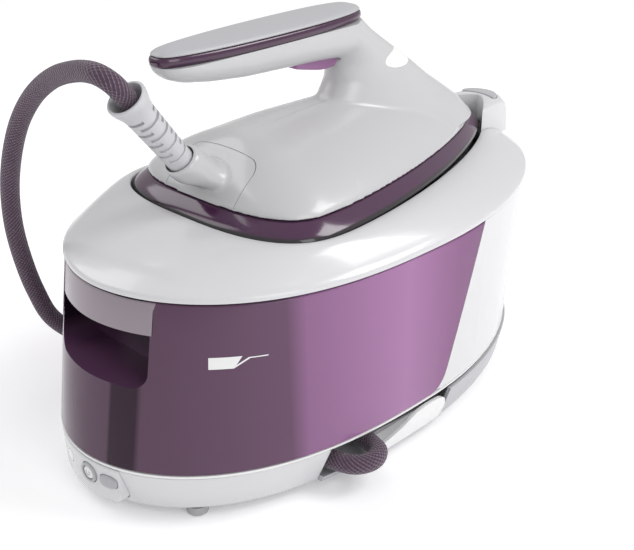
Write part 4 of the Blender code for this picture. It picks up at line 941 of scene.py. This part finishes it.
def heel_fairing(count=64):
    """Sloping root that rises from the body's heel to the strain relief."""
    axis, base = relief_axis()
    rows = ((Vector((0.0, -0.058, 0.1763)), Vector((0.0, 1.0, 0.0)), 0.0205, 0.017),
            (Vector((0.0, -0.078, 0.1868)), Vector((0.0, 0.93, 0.36)), 0.0138, 0.0128),
            (base + axis * 0.001, Vector((0.0, 0.785, 0.62)), 0.0111, 0.0111))
    rings = []
    for centre, way, half_x, half_along in rows:
        angles = [2 * math.pi * i / count for i in range(count)]
        rings.append([centre + Vector((half_x * math.cos(a), 0.0, 0.0)) + way * (half_along * math.sin(a))
                      for a in angles])
    return loft(rings)


def build_iron_housing():
    housing = join(body_dome(), neck_solid(), handle_solid(), heel_fairing())
    modify(housing, "REMESH", mode="VOXEL", voxel_size=0.0012)
    modify(housing, "SMOOTH", factor=0.5, iterations=22)
    cut(housing, box((-0.2, -0.3, 0.1), (0.2, 0.3, BAND_TOP + GAP)), above_handle())
    cut(housing, loft([iron_ring(BODY_PLAN, 0.16, -0.028, 64), iron_ring(BODY_PLAN, 0.178, -0.034, 64)]))
    cut(housing, box((-0.0078, -0.006, 0.2264), (0.0078, 0.0341, 0.244)))
    cut(housing, window_lens(0.00015))
    axis, base = relief_axis()
    cut(housing, turned(base - axis * 0.02, axis, [(0, 0.0092), (0.06, 0.0092)], 48))
    for groove in heel_grooves():
        cut(housing, groove)
    show(housing, "iron_shell", "iron", "iron", ("iron_housing", "heel_cover"), 30)


def heel_grooves():
    """Fine parting grooves round the cover where the hose enters the heel."""
    outer, inner = heel_outline(0.03, -0.055), heel_outline(0.0296, -0.0554)
    ring = loft([[Vector((x, y, 0.17)) for x, y in outer], [Vector((x, y, 0.23)) for x, y in outer]])
    cut(ring, loft([[Vector((x, y, 0.16)) for x, y in inner], [Vector((x, y, 0.24)) for x, y in inner]]))
    core = body_dome()
    for vertex in core.data.vertices:
        vertex.co.z -= 0.0012
    cut(ring, core)
    return [ring]


def heel_outline(half, rear):
    corner = arc((half - 0.008, rear - 0.008), 0.008, 0, 90, 8)
    right = [(half, -0.15)] + corner
    return right + [(-x, y) for x, y in reversed(right)]


def window_lens(grow):
    """Lens-shaped block, lying across the neck, that the lamp window fills."""
    angles = [2 * math.pi * i / 48 for i in range(48)]
    shape = [(0.0815 + (0.0185 + grow) * math.cos(a), 0.2268 + (0.0058 + grow) * math.sin(a)) for a in angles]
    return prism_x(shape, -0.03, 0.03)


def build_window():
    window = neck_solid()
    modify(window, "REMESH", mode="VOXEL", voxel_size=0.0012)
    modify(window, "SMOOTH", factor=0.5, iterations=22)
    common(window, window_lens(0.0))
    show(window, "lamp_window", "iron", "lamp", ("light_window",))


def build_band():
    rows = ((BAND_LOW, 0.0008), (BAND_LOW + 0.0003, 0.0018), (BAND_LOW + 0.0012, 0.0024),
            (BAND_LOW + 0.0024, 0.0023), (0.163, 0.0012), (0.165, -0.0008), (0.167, -0.0032),
            (0.1682, -0.0049), (0.1691, -0.0061), (BAND_TOP, -0.0072), (BAND_TOP, -0.0088),
            (0.1625, -0.0036), (BAND_LOW, -0.0036))
    rings = [iron_ring(BODY_PLAN, z, grow) for z, grow in rows]
    show(loft(rings, closed=True), "band_ring", "iron", "band", ("trim_band",))


def handle_plan(z, grow=0.0, count=128):
    ring = []
    length = HANDLE_TIP_END - HANDLE_FREE_END
    middle, reach = (HANDLE_FREE_END + HANDLE_TIP_END) / 2, length / 2 + grow
    for i in range(count):
        angle = 2 * math.pi * i / count
        y = middle - reach * math.copysign(abs(math.cos(angle)) ** 0.9, math.cos(angle))
        taper = 1 - 0.16 * ((HANDLE_TIP_END - y) / length) ** 2
        x = (HANDLE_HALF * taper + grow) * math.copysign(abs(math.sin(angle)) ** 0.62, math.sin(angle))
        ring.append(Vector((x, y, z - droop(y))))
    return ring


def build_handle_top():
    rows = ((0.0004, -0.0004), (0.0008, 0.0001), (0.002, 0.0005), (0.0032, 0.0006), (0.0044, 0.0003),
            (0.0051, -0.0001), (0.0054, -0.0006))
    ring = loft([handle_plan(HANDLE_SPLIT + z, grow) for z, grow in rows])
    show(ring, "handle_band", "iron", "ring", ("handle_ring",))
    rows = ((0.0004, -0.0006), (0.001, -0.0004), (0.002, -0.0012), (0.0028, -0.0026), (0.0036, -0.0052),
            (0.0042, -0.0086), (0.0045, -0.012), (0.0046, -0.015))
    cap = loft([handle_plan(HANDLE_RING_TOP + z, grow) for z, grow in rows])
    show(cap, "handle_cap", "iron", "grey", ("handle_cover",))


def build_trigger():
    top = [(-0.004, 0.2385), (0.0332, 0.2385), (0.0332, 0.2345)]
    under = bezier((0.03, 0.229), (0.022, 0.2272), (0.013, 0.229), 12)
    tip = bezier((0.013, 0.229), (0.0, 0.2315), (-0.004, 0.2325), 8)[1:]
    trigger = soft_edges(prism_x(top + under + tip, -0.007, 0.007), 0.0011, 4)
    cut(trigger, turned((-0.02, 0.03, 0.2355), (1, 0, 0), [(0, 0.0013), (0.04, 0.0013)], 32))
    show(trigger, "trigger_blade", "trigger", "tank", ("steam_trigger",))


def build_soleplate():
    rows = ((0.0, -0.003), (0.0003, -0.0023), (0.0009, -0.002), (0.003, -0.002), (0.0035, -0.0024))
    sole = loft([iron_ring(BODY_PLAN, 0.15 + z, grow) for z, grow in rows])
    for row in range(5):
        for side in (-1, 1):
            x, y = side * (0.052 - 0.0085 * row), -0.035 + 0.042 * row
            cut(sole, turned((x, y, 0.14), (0, 0, 1), [(0, 0.0016), (0.03, 0.0016)], 20))
    show(sole, "sole_plate", "iron", "alloy", ("soleplate",))


def build_strain_relief():
    """Slotted flexible sleeve with a flared mouth."""
    axis, base = relief_axis()
    rows = [(-0.006, 0.0078), (0.004, 0.0078), (0.04, 0.0088), (0.045, 0.0096), (0.049, 0.011),
            (0.052, 0.0117), (0.0534, 0.0117), (0.054, 0.0112), (0.054, 0.0102), (0.053, 0.0096),
            (0.05, 0.009), (0.042, 0.0063), (-0.006, 0.0063)]
    sleeve = turned(base, axis, rows, 96, closed=True)
    axis, side, up = axes_of(axis)
    for row in range(8):
        along = 0.008 + 0.0047 * row
        turn = 0.0 if row % 2 == 0 else math.pi / 2
        for half_turn in (0.0, math.pi):
            cut(sleeve, slot_block(base + axis * along, axis, side, up, turn + half_turn))
    show(sleeve, "strain_sleeve", "iron", "pale", ("strain_relief",), 30)


def slot_block(centre, axis, side, up, turn):
    """Curved wedge that cuts one slot a third of the way round the sleeve."""
    inner, outer, half, span = 0.007, 0.013, 0.0011, math.radians(62)
    rings = []
    for i in range(13):
        angle = turn - span + 2 * span * i / 12
        way = side * math.cos(angle) + up * math.sin(angle)
        rings.append([centre + way * inner - axis * half, centre + way * outer - axis * half,
                      centre + way * outer + axis * half, centre + way * inner + axis * half])
    return loft(rings)


# ---------------------------------------------------------------- hose
def curve_point(a, b, c, d, t):
    k1 = (b - a).length ** 0.5
    k2 = k1 + (c - b).length ** 0.5
    k3 = k2 + (d - c).length ** 0.5
    k = k1 + (k2 - k1) * t
    p, q, r = a.lerp(b, k / k1), b.lerp(c, (k - k1) / (k2 - k1)), c.lerp(d, (k - k2) / (k3 - k2))
    return p.lerp(q, k / k2).lerp(q.lerp(r, (k - k1) / (k3 - k1)), (k - k1) / (k2 - k1))


def smooth_route(route, count):
    points = [Vector(p) for p in route]
    padded = [2 * points[0] - points[1]] + points + [2 * points[-1] - points[-2]]
    dense = []
    for a, b, c, d in zip(padded, padded[1:], padded[2:], padded[3:]):
        dense += [curve_point(a, b, c, d, step / 16) for step in range(16)]
    dense.append(points[-1])
    lengths = [0.0]
    for a, b in zip(dense, dense[1:]):
        lengths.append(lengths[-1] + (b - a).length)
    result, index = [], 0
    for step in range(count):
        want = lengths[-1] * step / (count - 1)
        while index < len(dense) - 2 and lengths[index + 1] < want:
            index += 1
        share = (want - lengths[index]) / (lengths[index + 1] - lengths[index])
        result.append(dense[index].lerp(dense[index + 1], share))
    return result, lengths[-1]


def build_hose():
    path, length = smooth_route(HOSE_ROUTE, 520)
    sides = 24
    normal = Vector((1, 0, 0))
    vertices, faces = [], []
    for i, point in enumerate(path):
        ahead = (path[min(i + 1, len(path) - 1)] - path[max(i - 1, 0)]).normalized()
        normal = (normal - ahead * normal.dot(ahead)).normalized()
        other = ahead.cross(normal)
        for j in range(sides):
            angle = 2 * math.pi * j / sides
            vertices.append(point + (normal * math.cos(angle) + other * math.sin(angle)) * HOSE_RADIUS)
    for i in range(len(path) - 1):
        for j in range(sides):
            faces.append((i * sides + j, i * sides + (j + 1) % sides, (i + 1) * sides + (j + 1) % sides,
                          (i + 1) * sides + j))
    faces += [tuple(range(sides)), tuple(range(len(vertices) - sides, len(vertices)))]
    hose = mesh_object("hose", vertices, faces)
    layer = hose.data.uv_layers.new(name="UVMap")
    for polygon in hose.data.polygons:
        columns = [hose.data.loops[k].vertex_index % sides for k in polygon.loop_indices]
        wraps = max(columns) - min(columns) > sides / 2
        for k, column in zip(polygon.loop_indices, columns):
            row = hose.data.loops[k].vertex_index // sides
            turn = 1.0 if wraps and column == 0 else column / sides
            layer.data[k].uv = (turn, row / (len(path) - 1) * length)
    show(hose, "hose_sleeve", None, "hose", ("steam_hose",), 60)
    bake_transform(hose)
    print("hose length", round(length, 4))


# ---------------------------------------------------------------- camera, light, floor
def build_camera():
    camera = bpy.data.objects.new("camera", bpy.data.cameras.new("camera"))
    bpy.context.scene.collection.objects.link(camera)
    turn = Matrix(CAMERA_AXES).transposed().to_4x4()
    x, y, z = CAMERA_PLACE
    camera.matrix_world = Matrix.Translation((x, y - CENTRE_Y, z - FLOOR_Z)) @ turn
    camera.data.sensor_width = 36.0
    camera.data.lens = CAMERA_LENS
    camera.data.clip_start = 0.01
    bpy.context.scene.camera = camera


def area_light(name, place, aim, size, power, colour=(1, 1, 1)):
    lamp = bpy.data.lights.new(name, "AREA")
    lamp.shape = "RECTANGLE"
    lamp.size, lamp.size_y = size
    lamp.energy = power
    lamp.color = colour
    obj = bpy.data.objects.new(name, lamp)
    bpy.context.scene.collection.objects.link(obj)
    obj.location = place
    obj.rotation_mode = "QUATERNION"
    obj.rotation_quaternion = (Vector(aim) - Vector(place)).to_track_quat("-Z", "Y")
    return obj


def build_stage():
    floor = loft([[Vector((x, y, z)) for x, y in ((-6, -6), (6, -6), (6, 6), (-6, 6))] for z in (-0.02, 0.0)])
    floor.name = "floor"
    look = Shader("floor_white", (0.92, 0.92, 0.93), 0.6, Emission_Color=(1, 1, 1, 1), Emission_Strength=0.18)
    floor.data.materials.append(look.material)
    world = bpy.data.worlds.new("studio")
    world.use_nodes = True
    world.node_tree.nodes["Background"].inputs[0].default_value = (1.0, 1.0, 1.0, 1.0)
    world.node_tree.nodes["Background"].inputs[1].default_value = WORLD_STRENGTH
    bpy.context.scene.world = world
    area_light("key", (1.2, 1.1, 1.7), (0, 0, 0.1), (1.0, 1.0), 22)
    area_light("side", (1.5, -0.4, 0.9), (0, 0, 0.1), (0.7, 1.2), 7)
    area_light("fill", (-1.2, -0.6, 1.3), (0, 0, 0.15), (1.2, 1.0), 8)


def build_all():
    for look, names in NODE_MATERIALS.items():
        for name in names:
            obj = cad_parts[name]
            obj.data.materials.clear()
            obj.data.materials.append(MATERIALS[look])
    build_camera()
    build_hose()
    build_tray()
    build_clip()
    build_skirt()
    build_controls()
    build_deck()
    build_tank()
    fill_mark()
    build_rear_shell()
    build_cover()
    build_lock()
    build_iron_housing()
    build_window()
    build_band()
    build_handle_top()
    build_trigger()
    build_soleplate()
    build_strain_relief()
    build_stage()
    settings = bpy.context.scene
    settings.render.resolution_x, settings.render.resolution_y = PICTURE_SIZE
    settings.view_settings.view_transform = "Standard"


build_all()
